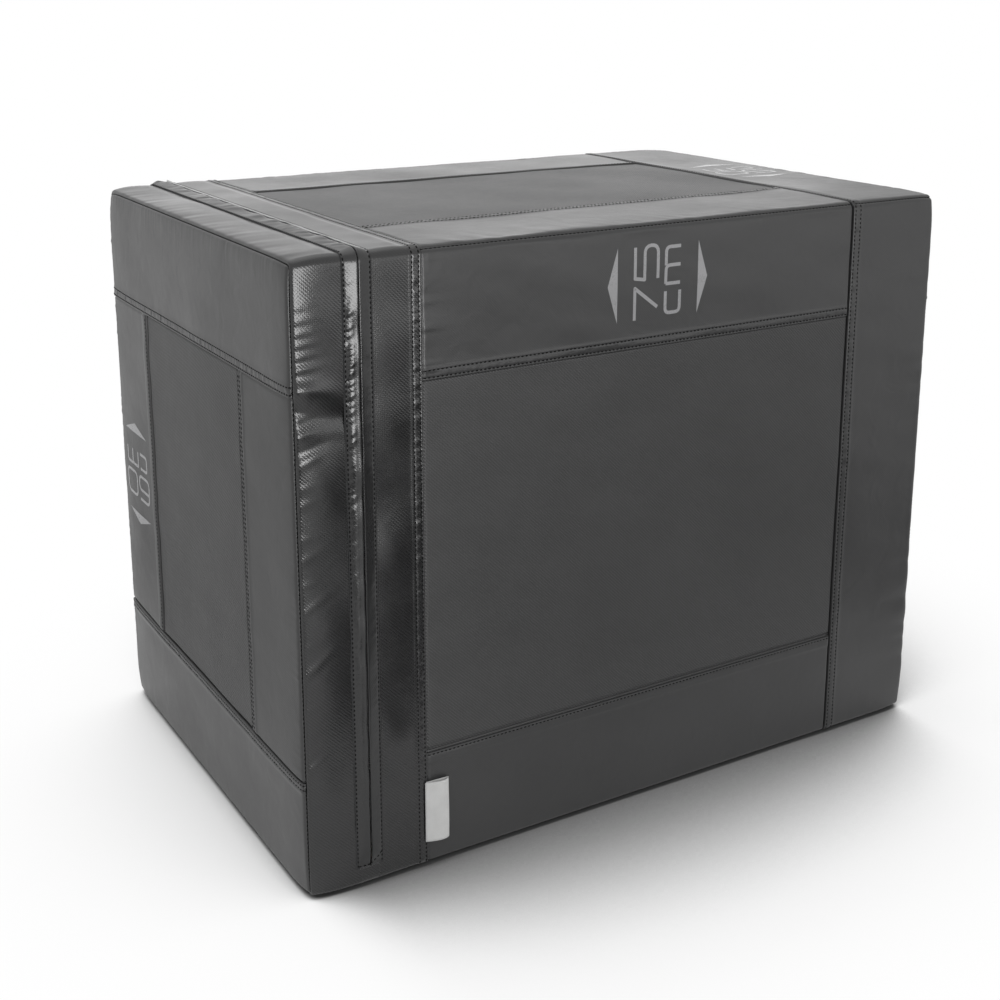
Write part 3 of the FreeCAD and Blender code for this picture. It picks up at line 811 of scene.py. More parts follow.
class JUMPBOX_OT_top_and_base(Dressing):
    """Covers of the top and the base: two strips, the far band and a woven panel each"""

    bl_idname = "jump_box.top_and_base"
    bl_label = "Top and Base Covers"

    def execute(self, context):
        s, box = sizes(), Cover()
        inner, outer = (s.seam_left, s.seam_right + LAP), (s.seam_right, box.x_end)
        for face, at, foam, seed in (("top", box.top, "foam_top", 50), ("bottom", box.under, "foam_bottom", 70)):
            up = face == "top"
            first, last = (box.front_end, box.top_end) if up else (box.back_end, box.round)
            near, beyond = ("front", "back") if up else ("back", "front")
            side = s.seam_side if up else -s.seam_side
            p_near, p_beyond = at(-side), at(side)
            loose = 1.0 if up else 0.25
            thread = "thread_" + face

            def cut(name, x, p, borders, step, waves=0.4, **more):
                more["waves"] = waves * loose
                return dress(box.wrap, f"{face}_{name}", "box_body", x, p, borders, foam, step, **more)

            strip = cut(near + "_strip", inner, (first, p_near),
                        [tuck(0.5 * loose, 12, 14, seed), deep(), edge(0.55 * loose, 34, 26, seed + 1, 0.5), hem()],
                        (2.8, 3.5))
            strip.sew(thread, LAP, 3)
            strip = cut(beyond + "_strip", inner, (p_beyond, last),
                        [tuck(0.4 * loose, 12, 12, seed + 2), deep(), hem(SINGLE), edge(0.4 * loose, 45, 20, seed + 3)],
                        (2.8, 3.5))
            strip.sew(thread, LAP, 2)
            far = cut("right_band", outer, (first, last),
                      [hem(SINGLE), edge(0.5 * loose, 50, 18, seed + 4), edge(0.35 * loose, 18, 12, seed + 5),
                       edge(0.3 * loose, 30, 12, seed + 6)], (3.5, 2.8))
            far.sew(thread, FREE_HEM, 0)
            far.sew(thread, FREE_EDGE, 1, rows=VALLEY)
            cut("centre_panel", inner, (p_near - LAP, p_beyond + LAP), [tuck(), deep(), tuck(), deep()],
                PANEL_STEP, waves=0.35, crown=PANEL_CROWN if up else 0.0)
        return {"FINISHED"}


def fine_puckers(box):
    """Small puckers below an end's upper seam: an uneven wave along it that fades downwards."""

    def relief(y, z, points):
        below = box.z_high - z
        return 0.05 * MM * ripple(y, 5 * MM, 7) * np.exp(-below / (22 * MM)) * ease(below / (4 * MM))

    return relief


class JUMPBOX_OT_ends(Dressing):
    """Covers of the far end and of the zipped end flap: two bands, two strips and a woven panel each"""

    bl_idname = "jump_box.ends"
    bl_label = "End Covers"

    def execute(self, context):
        s, box = sizes(), Cover()
        wide, tall = (-box.y_end, box.y_end), (s.seam_low - LAP, s.seam_high + LAP)
        ends = (("right", 1, "box_body", "foam_right_end", 90), ("flap", -1, "end_flap", "foam_left_end", 110))
        for face, side, body, foam, seed in ends:
            flap = side < 0
            thread = "thread_" + face

            def cut(name, y, z, borders, step, **more):
                return dress(box.end(side), f"{face}_{name}", body, y, z, borders, foam, step, lined=flap, **more)

            def seam(gather, wavelength, reach, number):
                return edge(gather, wavelength, reach, seed + number, soft=2.6 if flap else 1.2)

            top = cut("top_band", wide, (s.seam_high, box.z_high),
                      [seam(0.5, 12, 12, 0), seam(0.5, 14, 12, 1), hem(), seam(0.22, 11, 14, 2)],
                      (1.8, 4), extra=fine_puckers(box) if flap else None)
            top.sew(thread, FREE_HEM, 2)
            top.sew(thread, FREE_EDGE, 3, 0, 1, rows=VALLEY)
            base = cut("bottom_band", wide, (box.z_low, s.seam_low),
                       [seam(0.4, 12, 12, 3), seam(0.4, 14, 12, 4), seam(0.35, 14, 12, 5), hem(LOW_DOUBLE)], (3, 4))
            base.sew(thread, FREE_HEM, 3)
            base.sew(thread, FREE_EDGE, 0, 1, rows=VALLEY)
            front = cut("front_strip", (-box.y_end, -s.seam_side), tall,
                        [seam(0.55, 11, 14, 6), hem(CLOSE_DOUBLE), tuck(gap=GROOVE), tuck()], (4, 2.5))
            front.sew(thread, LAP, 1)
            front.sew(thread, LAP, 0, rows=VALLEY)
            back = cut("back_strip", (s.seam_side, box.y_end), tall,
                       [hem(SINGLE), seam(0.5, 14, 12, 7), tuck(gap=GROOVE), tuck()], (4, 2.8))
            back.sew(thread, LAP, 0)
            back.sew(thread, LAP, 1, rows=VALLEY)
            cut("centre_panel", (-s.seam_side - LAP, s.seam_side + LAP), tall,
                [tuck(gap=3.0), tuck(gap=3.8), deep(), tuck()], PANEL_STEP, crown=PANEL_CROWN)
        return {"FINISHED"}


# Drawn folds beside the end seam on the front: height over the floor, lift, half width and reach in millimetres, lean.
END_FOLDS = np.array([
    [558, 0.6, 4.5, 15, 0.1], [546, 0.8, 4.0, 16, 0.1], [535, 0.9, 3.8, 16, 0.1], [525, 1.0, 3.4, 17, 0.1],
    [515, 1.1, 3.4, 17, 0.1], [504, 1.4, 3.6, 19, 0.1], [487, 3.2, 7.5, 24, -0.1], [466, -2.8, 10.0, 90, -0.15],
    [461, 1.5, 3.6, 14, 0.1], [445, 1.3, 3.8, 16, 0.2], [430, -1.3, 6.0, 40, 0.2], [418, 0.8, 5.0, 34, 0.5],
    [398, 0.6, 3.2, 12, 0.2], [382, 0.6, 4.0, 15, 0.3], [352, 0.5, 3.4, 12, 0.1], [331, 0.6, 4.4, 17, 0.4],
    [309, 0.4, 3.0, 11, 0.2], [282, 0.6, 4.2, 20, 0.6], [250, 0.4, 3.2, 12, 0.3], [221, 0.8, 5.0, 26, 0.8],
    [190, 0.4, 3.4, 12, 0.2], [163, 0.4, 3.6, 13, 0.3], [131, 1.0, 4.0, 18, 0.5], [96, 0.4, 3.4, 12, 0.2],
    [62, 0.5, 3.6, 14, 0.3],
])


def end_folds(box, x, p):
    """The drawn folds: each a rounded ridge or valley across the seam that starts at it and fades with the distance."""
    z, lift, width, reach, lean = (END_FOLDS[:, i] * (1 if i == 4 else MM) for i in range(5))
    d = (x + box.x_end)[..., None]
    ridge = bump_at(p[..., None] - lean * d, box.front(z), width)
    return (lift * ridge * bump_at(d, 0, reach)).sum(-1) * (1 - np.exp(-(x + box.x_end) / (2.2 * MM)))


def seat(points):
    """How far the cloth is drawn up where the box stands: 1.4 millimetres on the floor, none from 5.5 up."""
    return 1.4 * MM * (1 - ease((points[..., 2] - 0.5 * MM) / (5 * MM)))


def gusset_puckers(box, near, far, seed, drawn=False):
    """Fullness of a gusset between its two sewn sides: a low crown across it, which leans to the end on the top, slow
    folds nearly square to the zip on the front and the back, and rounded puckers beside the end seam on the top.
    The flap's one has the drawn folds too."""

    def relief(x, p, points):
        across = np.clip((x - near) / (far - near), 0, 1)
        on_top = box.over_top(p)
        upright = 1 - on_top
        standing = ease(points[..., 2] / (60 * MM))
        square = ripple(p + 0.5 * (x - near), 95 * MM, seed + 1)
        slow = 0.15 * on_top * ripple(p + 0.6 * x, 80 * MM, seed + 4)
        h = np.sin(np.pi * across) * standing * MM * (0.8 * upright + upright * 0.7 * square + slow) - seat(points)
        h = h + 2.0 * MM * on_top * across * ease((1 - across) / 0.22)
        if drawn:
            d = x + box.x_end
            rows = ripple(p + 0.35 * d, 27 * MM, seed + 5) * np.exp(-((d / (24 * MM)) ** 1.5))
            rows = rows * (1 - np.exp(-d / (4 * MM)))
            fading = np.exp(-((d / (14 * MM)) ** 1.3)) * (1 - np.exp(-d / (2.2 * MM)))
            behind = (p > box.top_end) * ridges(p, 17 * MM, seed + 6) * fading
            h = h + 0.22 * MM * on_top * rows + 1.1 * MM * behind * standing + end_folds(box, x, p)
        return h

    return relief


class JUMPBOX_OT_gussets(Dressing):
    """Bands that wrap the box on both sides of the zip, in one piece round each edge"""

    bl_idname = "jump_box.gussets"
    bl_label = "Zip Gussets"

    RIM = 9.5 * MM
    HINGE_TOP = 0.020

    def execute(self, context):
        s, box = sizes(), Cover()
        loose = Border("open")
        rim = s.zip_x - self.RIM
        flap = Patch("cover_flap_gusset", box.wrap, (-box.x_end, rim), (0.0, box.round),
                     [edge(0.0, 17, 13, 131, soft=2.6), loose, loose, loose], waves=0.25,
                     extra=gusset_puckers(box, -box.x_end, s.zip_x - 13 * MM, 133, True), loop=True)
        piece = flap.make((2.6, 2.2), [finish("gloss"), finish("backing")], lined=True)
        fit(piece, "across_hinge", ["flap_gusset"])
        body = Patch("cover_body_gusset", box.wrap, (s.zip_x + self.RIM, s.seam_left + LAP), (0.0, box.round),
                     [loose, hem(DOUBLE, 0.2, 14, 12, 141), loose, loose], waves=0.25,
                     extra=gusset_puckers(box, s.zip_x + 12 * MM, s.seam_left - 6 * MM, 143), loop=True)
        piece = body.make((2.8, 2.4), [finish("gloss")])
        fit(piece, "box_body", ["body_gusset"])
        body.sew("thread_gusset", 2 * MM, 1)
        hinge = Patch("cover_hinge_band", box.wrap, (rim - 1 * MM, s.zip_x + self.RIM + 1 * MM),
                      (box.back(self.HINGE_TOP) - box.round, box.front(self.HINGE_TOP)), [loose] * 4, waves=0.25,
                      extra=lambda x, p, points: 0.03 * MM - seat(points))
        piece = hinge.make((3, 4), [finish("gloss")])
        fit(piece, "box_body", ["hinge_band"])
        return {"FINISHED"}


def rounded_outline(points, times):
    """A closed outline with its corners cut: each time, a side keeps its points at a quarter and three quarters."""
    for _ in range(times):
        following = np.roll(points, -1, 0)
        points = np.stack([0.75 * points + 0.25 * following, 0.25 * points + 0.75 * following], 1).reshape(-1, 2)
    return points


def flat_section(left, right, bottom, top):
    """The rounded section of a flat strip, from its sides in millimetres."""
    return rounded_outline(np.array([[left, bottom], [right, bottom], [right, top], [left, top]]) * MM, 1)


# Heights above the floor on the back at which the zip's parts end, and the two ends of the guard behind the slider.
TAPE_FOOT, COIL_FOOT, LIP_FOOT, GUARD = 0.0203, 0.0546, 0.0606, (0.058, 0.014)
# A lip's section from its sewn edge over its crest and back under it: across from the chain and out, in millimetres.
LIP_CREST = np.array([
    [14.6, -0.3], [13.6, 0.2], [13.0, 0.5], [12.3, 0.7], [11.5, 1.2], [9.0, 2.05],
    [6.5, 2.85], [4.0, 3.6], [2.2, 4.1], [1.2, 4.25], [0.6, 4.0], [0.4, 3.5],
]) * MM
LIP_LINING = np.array([
    [0.7, 3.2], [2.0, 3.0], [4.0, 3.0], [6.0, 2.6], [8.0, 1.8], [10.0, 1.0], [12.0, 0.2], [14.0, -0.5],
]) * MM
# Where a lip is held by its stitches, and where the stitches lie.
LIP_HELD, LIP_ROW = 12.6 * MM, 12.3 * MM


class JUMPBOX_OT_zip(Dressing):
    """The zip: woven tapes, a guard behind the parked slider, coils of nylon teeth, folded lips, slider and pull"""

    bl_idname = "jump_box.zip"
    bl_label = "Zip"

    def execute(self, context):
        s, box = sizes(), Cover()

        def at(u, p, n):
            """Points beside the zip: u across it, p along it and n out from the cover."""
            u, p, n = np.broadcast_arrays(u, p, n)
            points, out = box.wrap(s.zip_x + u, p)
            return points + out * n[..., None]

        def strip(name, section, path, sign):
            points = at(sign * section[None, :, 0], path[:, None], section[None, :, 1])
            return carried_piece(name, section, path, points, [finish("tape")])

        start, end = box.front(low("zip_tape_body")[2]), box.back(TAPE_FOOT)
        for side, body, sign in (("flap", "across_hinge", -1), ("body", "box_body", 1)):
            tape = f"zip_tape_{side}"
            piece = strip(tape + "_woven", flat_section(2.0, 14.0, 0.05, 0.75), np.arange(start, end, 4 * MM), sign)
            fit(piece, body, [tape])
            self.coil(box, at, s.tooth_pitch, side, sign, body)
            self.lip(box, at, side, sign, body, start, box.back(LIP_FOOT))
        path = np.arange(box.back(GUARD[0]), box.back(GUARD[1]), 2 * MM)
        fit(strip("zip_tape_guard", flat_section(-5.0, 5.0, -2.9, -2.2), path, 1), "box_body", [])
        for node in ("zip_slider", "zip_pull"):
            recoat(node, "metal")
        return {"FINISHED"}

    def coil(self, box, at, pitch, side, sign, body):
        """Coil turns: each is a bead whose half width, length and height follow a half circle, set at the pitch."""
        start, end = box.front(low("zip_coil_" + side)[2]), box.back(COIL_FOOT)
        centres = np.arange(start + pitch / 2, end, pitch) + (pitch / 2 if sign < 0 else 0)
        v, w = np.meshgrid(np.linspace(0, np.pi, RINGS), np.linspace(0, 2 * np.pi, ROUND + 1)[:-1], indexing="ij")
        across = (1.8 - 1.65 * np.cos(v)) * MM
        along = 0.42 * pitch * np.sin(v) * np.cos(w)
        up = (1.75 + 0.95 * np.sin(v) * np.sin(w)) * MM
        points = at(sign * across, centres[:, None, None] + along, up)
        quads = bead_faces(len(centres), sign > 0)
        piece = mesh_piece(f"zip_coil_{side}_teeth", points.reshape(-1, 3), quads, [finish("coil")])
        fit(piece, body, ["zip_coil_" + side])

    def fullness(self, box, p, sign):
        """How strongly a lip is gathered, in millimetres: most on the flap's side below the upper front edge."""
        stretch = bump_at(p, box.front(0.505), 44 * MM) + 0.25 * bump_at(p, box.front(0.40), 60 * MM)
        stretch = stretch + 0.15 * bump_at(p, box.front(0.26), 80 * MM) + 0.5 * bump_at(p, box.back(0.4), 120 * MM)
        return 0.05 + (0.62 if sign < 0 else 0.03) * stretch

    def lip(self, box, at, side, sign, body, start, end):
        """A folded strip of vinyl over the coil: its rounded section is carried along the zip, and folds ripple its
        raised part, the small ones beside the stitches and the slow ones by the chain. Down the back it is drawn in
        towards its stitches, so that the slider runs free between the two lips."""
        section = rounded_outline(np.concatenate([LIP_CREST, LIP_LINING]), 1)
        path = np.arange(start, end, 1.6 * MM)
        seed, loose = (160, 0.5) if sign < 0 else (170, 0.15)

        def lowered(n, p):
            """Heights, drawn down to 0.35 of themselves at the lip's two ends, where it is sewn shut."""
            closing = ease((p - path[0]) / (14 * MM)) * ease((path[-1] - p) / (10 * MM))
            return 0.3 * MM + (n - 0.3 * MM) * (0.35 + 0.65 * closing)

        u, p, n = np.broadcast_arrays(section[None, :, 0], path[:, None], section[None, :, 1])
        raised = ease((LIP_HELD - u) / (7 * MM))
        beside = bump_at(u, 9.6 * MM, 3.3 * MM) * ease((LIP_HELD - u) / (2 * MM))
        small = ridges(p - sign * 0.5 * u, 15 * MM, seed) * beside
        broad = ridges(p + sign * 1.6 * u, 40 * MM, seed + 1) * box.over_top(p)
        n = n + MM * 2.4 * self.fullness(box, p, sign) * small
        n = n + raised * MM * (0.35 * broad + loose * ripple(p, 70 * MM, seed + 2))
        if sign < 0:
            n = n + 0.8 * MM * bump_at(u, 7.6 * MM, 3.2 * MM) * ease((box.front(0.565) - p) / (30 * MM))
        slit = 0.55 * bump_at(p, box.front(0.08), 60 * MM) * ease((p - path[0]) / (20 * MM))
        u = u + raised * MM * (0.15 * ripple(p, 60 * MM, seed + 3) + slit)
        parted = ease((p - box.top_end + 20 * MM) / (25 * MM))
        u = np.where(u < LIP_HELD, LIP_HELD - (LIP_HELD - u) * (1 - 0.57 * parted), u)
        points = at(sign * np.maximum(u, 0.35 * MM), p, lowered(n, p))
        piece = carried_piece(f"zip_lip_{side}_folded", section, path, points, [finish("lip")])
        fit(piece, body, ["zip_lip_" + side])
        self.sew_lip(box, at, side, sign, start, end, lowered)

    def sew_lip(self, box, at, side, sign, start, end, lowered):
        """Stitches along a lip and across its foot: square on the flap's side, slanting on the body's."""
        zip_x = sizes().zip_x
        row = np.arange(start + 3 * MM, end - 3 * MM, sizes().stitch_pitch)
        foot = (np.arange(1.5, 12, 4.4) if sign < 0 else np.arange(1.0, 12, 3.2)) * MM
        slant, rise = (0.0, 2.2 * MM) if sign < 0 else (0.75, 3 * MM)
        rows = ((np.full(len(row), LIP_ROW), row, 0, 1), (foot, start + rise + foot * slant, 1, slant))
        for u, p, du, dp in rows:
            top = lowered(np.interp(u, LIP_CREST[::-1, 0], LIP_CREST[::-1, 1]), p)
            middle, ahead = at(sign * u, p, top), at(sign * (u + du * MM), p + dp * MM, top)
            out = box.wrap(zip_x + sign * u, p)[1]
            SEWN.setdefault("thread_zip_" + side, []).append((middle, unit(ahead - middle), out))


class JUMPBOX_OT_tag(Dressing):
    """The blank woven tag, a folded loop caught in the seam low on the front"""

    bl_idname = "jump_box.tag"
    bl_label = "Woven Tag"

    OUTER_SHARE = 0.62
    ACROSS, UP = 49, 26

    def execute(self, context):
        """The loop bows out by a sine to its fold and comes home flat behind; its corners are smoothed three times."""
        lo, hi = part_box("woven_tag")
        width, bow, height = hi[0] - lo[0], 1.5 * (hi[1] - lo[1]), hi[2] - lo[2]
        t, z = np.linspace(0, 1, self.ACROSS), np.linspace(lo[2], hi[2], self.UP)
        outer = t < self.OUTER_SHARE
        out = np.clip(t / self.OUTER_SHARE, 0, 1)
        home = np.clip((t - self.OUTER_SHARE) / (1 - self.OUTER_SHARE), 0, 1)
        x = lo[0] + width * np.where(outer, np.sin(out * np.pi / 2) ** 0.85, 1 - ease(home) * 0.93)
        bowed, flat = -bow * (0.28 + 0.72 * np.sin(np.pi * out**0.8)), -bow * 0.28 * (1 - home) - 0.2 * MM
        centre = np.stack([x, np.where(outer, bowed, flat) - 0.5 * MM], -1)
        for _ in range(3):
            centre[1:-1] = (centre[:-2] + 2 * centre[1:-1] + centre[2:]) / 4
        step = np.gradient(centre, axis=0)
        side = unit(np.stack([step[:, 1], -step[:, 0]], -1))
        lean = 0.4 * MM * np.sin((z - lo[2]) / height * np.pi * 1.3) * np.sin(np.pi * t)[:, None]
        points = stacked(centre[:, None, 0], -sizes().depth / 2 + centre[:, None, 1] - lean, z[None, :])
        outs = stacked(side[:, None, 0], side[:, None, 1], 0 * z[None, :])
        uv = stacked(np.linspace(0, 0.05, self.ACROSS)[:, None], z[None, :])
        piece = cloth_piece("woven_tag_loop", points, outs, uv, 0.35 * MM, [finish("tag"), finish("tag")], lined=True)
        fit(piece, "box_body", ["woven_tag"])
        return {"FINISHED"}


class JUMPBOX_OT_stitching(Dressing):
    """Every stitch of the rows that the cut pieces have kept, as thread that dips into the cloth at both ends"""

    bl_idname = "jump_box.stitching"
    bl_label = "Stitching"

    BODIES = {"thread_flap": "end_flap", "thread_zip_flap": "across_hinge"}
    WIDER = {"thread_top": 1.5}

    def execute(self, context):
        s = sizes()
        v, w = np.linspace(-1, 1, RINGS)[:, None], np.linspace(0, 2 * np.pi, ROUND + 1)[:-1]
        girth = np.sqrt(1 - v**2 * 0.98) * s.stitch_width
        along = np.repeat(v * 0.76 * s.stitch_pitch / 2, ROUND, 1)[None, ..., None]
        across = (girth * np.cos(w) / 2)[None, ..., None]
        up = (girth * np.sin(w) * 0.36 + (0.16 - 0.42 * v**2) * MM)[None, ..., None]
        for group, rows in SEWN.items():
            middle, heading, out = (np.concatenate([row[i] for row in rows])[:, None, None] for i in range(3))
            side = np.cross(out, heading) * self.WIDER.get(group, 1.0)
            points = middle + heading * along + side * across + out * up
            piece = mesh_piece(group, points.reshape(-1, 3), bead_faces(len(middle), True), [finish("thread")])
            fit(piece, self.BODIES.get(group, "box_body"), [])
        return {"FINISHED"}


# Widths of the figures and letters as shares of their height.
LETTER_WIDTH = {"7": 1.15, "5": 1.2, "6": 1.2, "0": 1.2, "c": 1.25, "m": 2.1}
# Corners that stay sharp, by their number along the line.
SHARP = {"7": {1}, "5": {1, 2}}


def strokes(text, h, stroke):
    """Plain wide lettering as centre lines: each letter is a few lines with rounded corners, in its own box."""
    pen, lines = 0.0, []
    for letter in text:
        w, mid = LETTER_WIDTH[letter] * h, 0.58 * h
        shapes = {
            "7": [[(0, h), (w, h), (0.34 * w, 0)]],
            "5": [[(0.98 * w, h), (0.06 * w, h), (0, mid), (w, mid), (w, 0), (0, 0)]],
            "6": [[(0.95 * w, h), (0, h), (0, 0), (w, 0), (w, mid), (0, mid)]],
            "0": [[(w / 2, h), (0, h), (0, 0), (w, 0), (w, h), (w / 2, h)]],
            "c": [[(w, h), (0, h), (0, 0), (w, 0)]],
            "m": [[(0, 0), (0, h)], [(0, h), (w / 2, h), (w / 2, 0)], [(w / 2, h), (w, h), (w, 0)]],
        }[letter]
        for shape in shapes:
            lines.append(rounded_line([(x + pen, y) for x, y in shape], 0.3 * h, SHARP.get(letter, ())))
        pen += w + 2.2 * stroke
    return lines, pen - 2.2 * stroke


def rounded_line(corners, radius, sharp):
    """A line through corners, each replaced by a short curve that is quadratic between points a radius away from it."""
    corners = [np.array(c, float) for c in corners]
    out = [corners[0]]
    t = np.linspace(0, 1, 7)[:, None]
    for i, (a, b, c) in enumerate(zip(corners, corners[1:], corners[2:]), 1):
        before, after = np.linalg.norm(a - b), np.linalg.norm(c - b)
        reach = 0.02 * radius if i in sharp else min(radius, before / 2, after / 2)
        p, q = b + (a - b) / before * reach, b + (c - b) / after * reach
        out.extend((1 - t) ** 2 * p + 2 * t * (1 - t) * b + t**2 * q)
    out.append(corners[-1])
    return np.array(out)


def ribbon(line, width, every):
    """Points on both sides of a line, half the width along its normal, with long runs divided."""
    lengths = np.concatenate([[0], np.cumsum(np.linalg.norm(np.diff(line, axis=0), axis=1))])
    marks = np.unique(np.concatenate([lengths, np.arange(0, lengths[-1], every)]))
    marks = marks[np.concatenate([[True], np.diff(marks) > 1e-5])]
    line = np.stack([np.interp(marks, lengths, line[:, i]) for i in range(2)], -1)
    runs = unit(np.diff(line, axis=0))
    before, after = np.concatenate([runs[:1], runs]), np.concatenate([runs, runs[-1:]])
    normal = unit(np.stack([-(before + after)[:, 1], (before + after)[:, 0]], -1))
    lengthen = 1 / np.maximum(0.45, (normal * np.stack([-after[:, 1], after[:, 0]], -1)).sum(1))
    across = np.linspace(-0.5, 0.5, 3)
    return line[:, None] + normal[:, None] * (lengthen * width)[:, None, None] * across[None, :, None]


class JUMPBOX_OT_size_marks(Dressing):
    """Printed size marks in plain lettering, each between two arrows that point along the length it gives"""

    bl_idname = "jump_box.size_marks"
    bl_label = "Size Marks"

    STROKE, LIFT = 3.4 * MM, 0.12 * MM
    FIGURES, LETTERS = (27 * MM, -27 * MM), (17 * MM, 9.5 * MM)
    ARROW_HALF, ARROW_FOOT, ARROW_TALL = 36 * MM, 47.5, 11.5

    def execute(self, context):
        box = Cover()
        places = (
            ("75", "cover_front_top_band", (0.006, box.front(0.5425)), (0, 1), (1, 0), "box_body"),
            ("60", "cover_flap_back_strip", (0.1905, 0.287), (1, 0), (0, 1), "end_flap"),
            ("50", "cover_top_right_band", (0.313, box.top(0.006)), (-1, 0), (0, 1), "box_body"),
        )
        for figure, patch, middle, reading, stacking, body in places:
            self.mark(figure, CUT[patch], np.array(middle), np.array(reading), np.array(stacking), body)
        return {"FINISHED"}

    def mark(self, figure, patch, middle, reading, stacking, body):
        """Figures over letters between two triangles, laid out flat and carried on to the cloth by its own surface."""
        grids = []
        for text, (height, top) in ((figure, self.FIGURES), ("cm", self.LETTERS)):
            lines, width = strokes(text, height, self.STROKE)
            for line in lines:
                flat = ribbon(line, self.STROKE, 4 * MM)
                grids.append((flat[..., 0] - width / 2, top + (height - flat[..., 1])))
        s, t = np.meshgrid(np.linspace(-1, 1, 17), np.linspace(0, 1, 5), indexing="ij")
        for sign in (-1, 1):
            grids.append((self.ARROW_HALF * s * (1 - t), sign * (self.ARROW_FOOT + self.ARROW_TALL * t) * MM))
        flats = [middle + r[..., None] * reading + d[..., None] * stacking for r, d in grids]
        points, quads = joined(patch.place(flat[..., 0], flat[..., 1], self.LIFT) for flat in flats)
        fit(mesh_piece("size_mark_" + figure, points, quads, [finish("ink")]), body, [])


class JUMPBOX_OT_foam(Dressing):
    """The six foam slabs under the cover, with eased edges"""

    bl_idname = "jump_box.foam"
    bl_label = "Foam Slabs"

    ROOM, RADIUS = 4.5 * MM, 6 * MM

    def execute(self, context):
        for name in ("top", "bottom", "front", "back", "left_end", "right_end"):
            node = "foam_" + name
            lo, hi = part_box(node)
            piece = self.slab(node + "_slab", np.array(lo) + self.ROOM, np.array(hi) - self.ROOM)
            fit(piece, "box_body", [node])
        return {"FINISHED"}

    def slab(self, name, lo, hi):
        """A rounded block from six grids: the point on the inner block plus the radius times the direction, in which
        two leans and one square out make the edges round. The grids' shared borders are merged."""
        radius, half, middle = self.RADIUS, (hi - lo) / 2, (hi + lo) / 2
        arc = radius * np.pi / 4
        lead = np.linspace(0, arc, 5)[:-1]
        grids = []
        for axis in range(3):
            i, j = (axis + 1) % 3, (axis + 2) % 3
            lines = []
            for k in (i, j):
                straight = half[k] - radius
                inner = np.linspace(-straight, straight, max(3, int(half[k] / (10 * MM))))
                lines.append(np.concatenate([lead - straight - arc, inner, (straight + arc - lead)[::-1]]))
            ci, li = fold(lines[0][:, None], half[i], radius)
            cj, lj = fold(lines[1][None, :], half[j], radius)
            for side in (-1, 1):
                order = np.argsort([axis, i, j])
                core = stacked(side * (half[axis] - radius), ci, cj)[..., order]
                out = unit(stacked(float(side), li, lj)[..., order])
                grids.append((middle + core + radius * out, out))
        points, quads = joined(grids)
        _, first, same = np.unique(np.round(points, 6), axis=0, return_index=True, return_inverse=True)
        return mesh_piece(name, points[first], same.ravel()[quads], [finish("foam")])


class JUMPBOX_OT_core(Dressing):
    """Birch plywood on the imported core's own panels"""

    bl_idname = "jump_box.core"
    bl_label = "Plywood Core"

    PANELS = {"ply0": ("left_panel", "right_panel", "brace"), "ply1": ("front_panel", "back_panel"),
              "ply2": ("top_panel", "bottom_panel")}

    def execute(self, context):
        for key, panels in self.PANELS.items():
            for panel in panels:
                recoat("core_" + panel, key)
        return {"FINISHED"}


# Soft lamps: name, place, point they look at, width and height, power, and whether they show in reflections only.
LAMPS = (
    ("overhead", (-0.4, 0.4, 2.6), (0, 0, 0.3), (2.4, 2.4), 16, False),
    ("gloss_softbox", (-0.52, -1.95, 0.35), (-0.42, -0.25, 0.35), (1.0, 0.6), 21, True),
    ("low_softbox", (1.45, -2.7, 0.42), (0.1, -0.25, 0.4), (1.4, 0.8), 6, False),
    ("back_softbox", (1.4, 2.8, 1.0), (0, 0, 0.6), (2.6, 1.2), 9, False),
)
# Cards just over the floor: name, corner, two sides, and tone.
CARD_HEIGHT = 0.4 * MM
CARDS = (
    ("floor_flag", (-0.26, -0.50), (1.08, 0), (0.6, -1.35), 0.02),
    ("lip_flag", (-0.92, -0.85), (0.48, 0), (-0.1, -0.95), 0.02),
    ("side_flag", (-0.49, 0.05), (0, 0.55), (-0.28, 0.85), 0.3),
)
# The camera: lens and sensor in millimetres, shift, place, and degrees that it looks down and is turned.
LENS, SENSOR, SHIFT = 54.25, 36.0, -0.15
EYE, EYE_DOWN, EYE_TURN = (-0.848, -1.382, 0.828), 14.06, -30.93


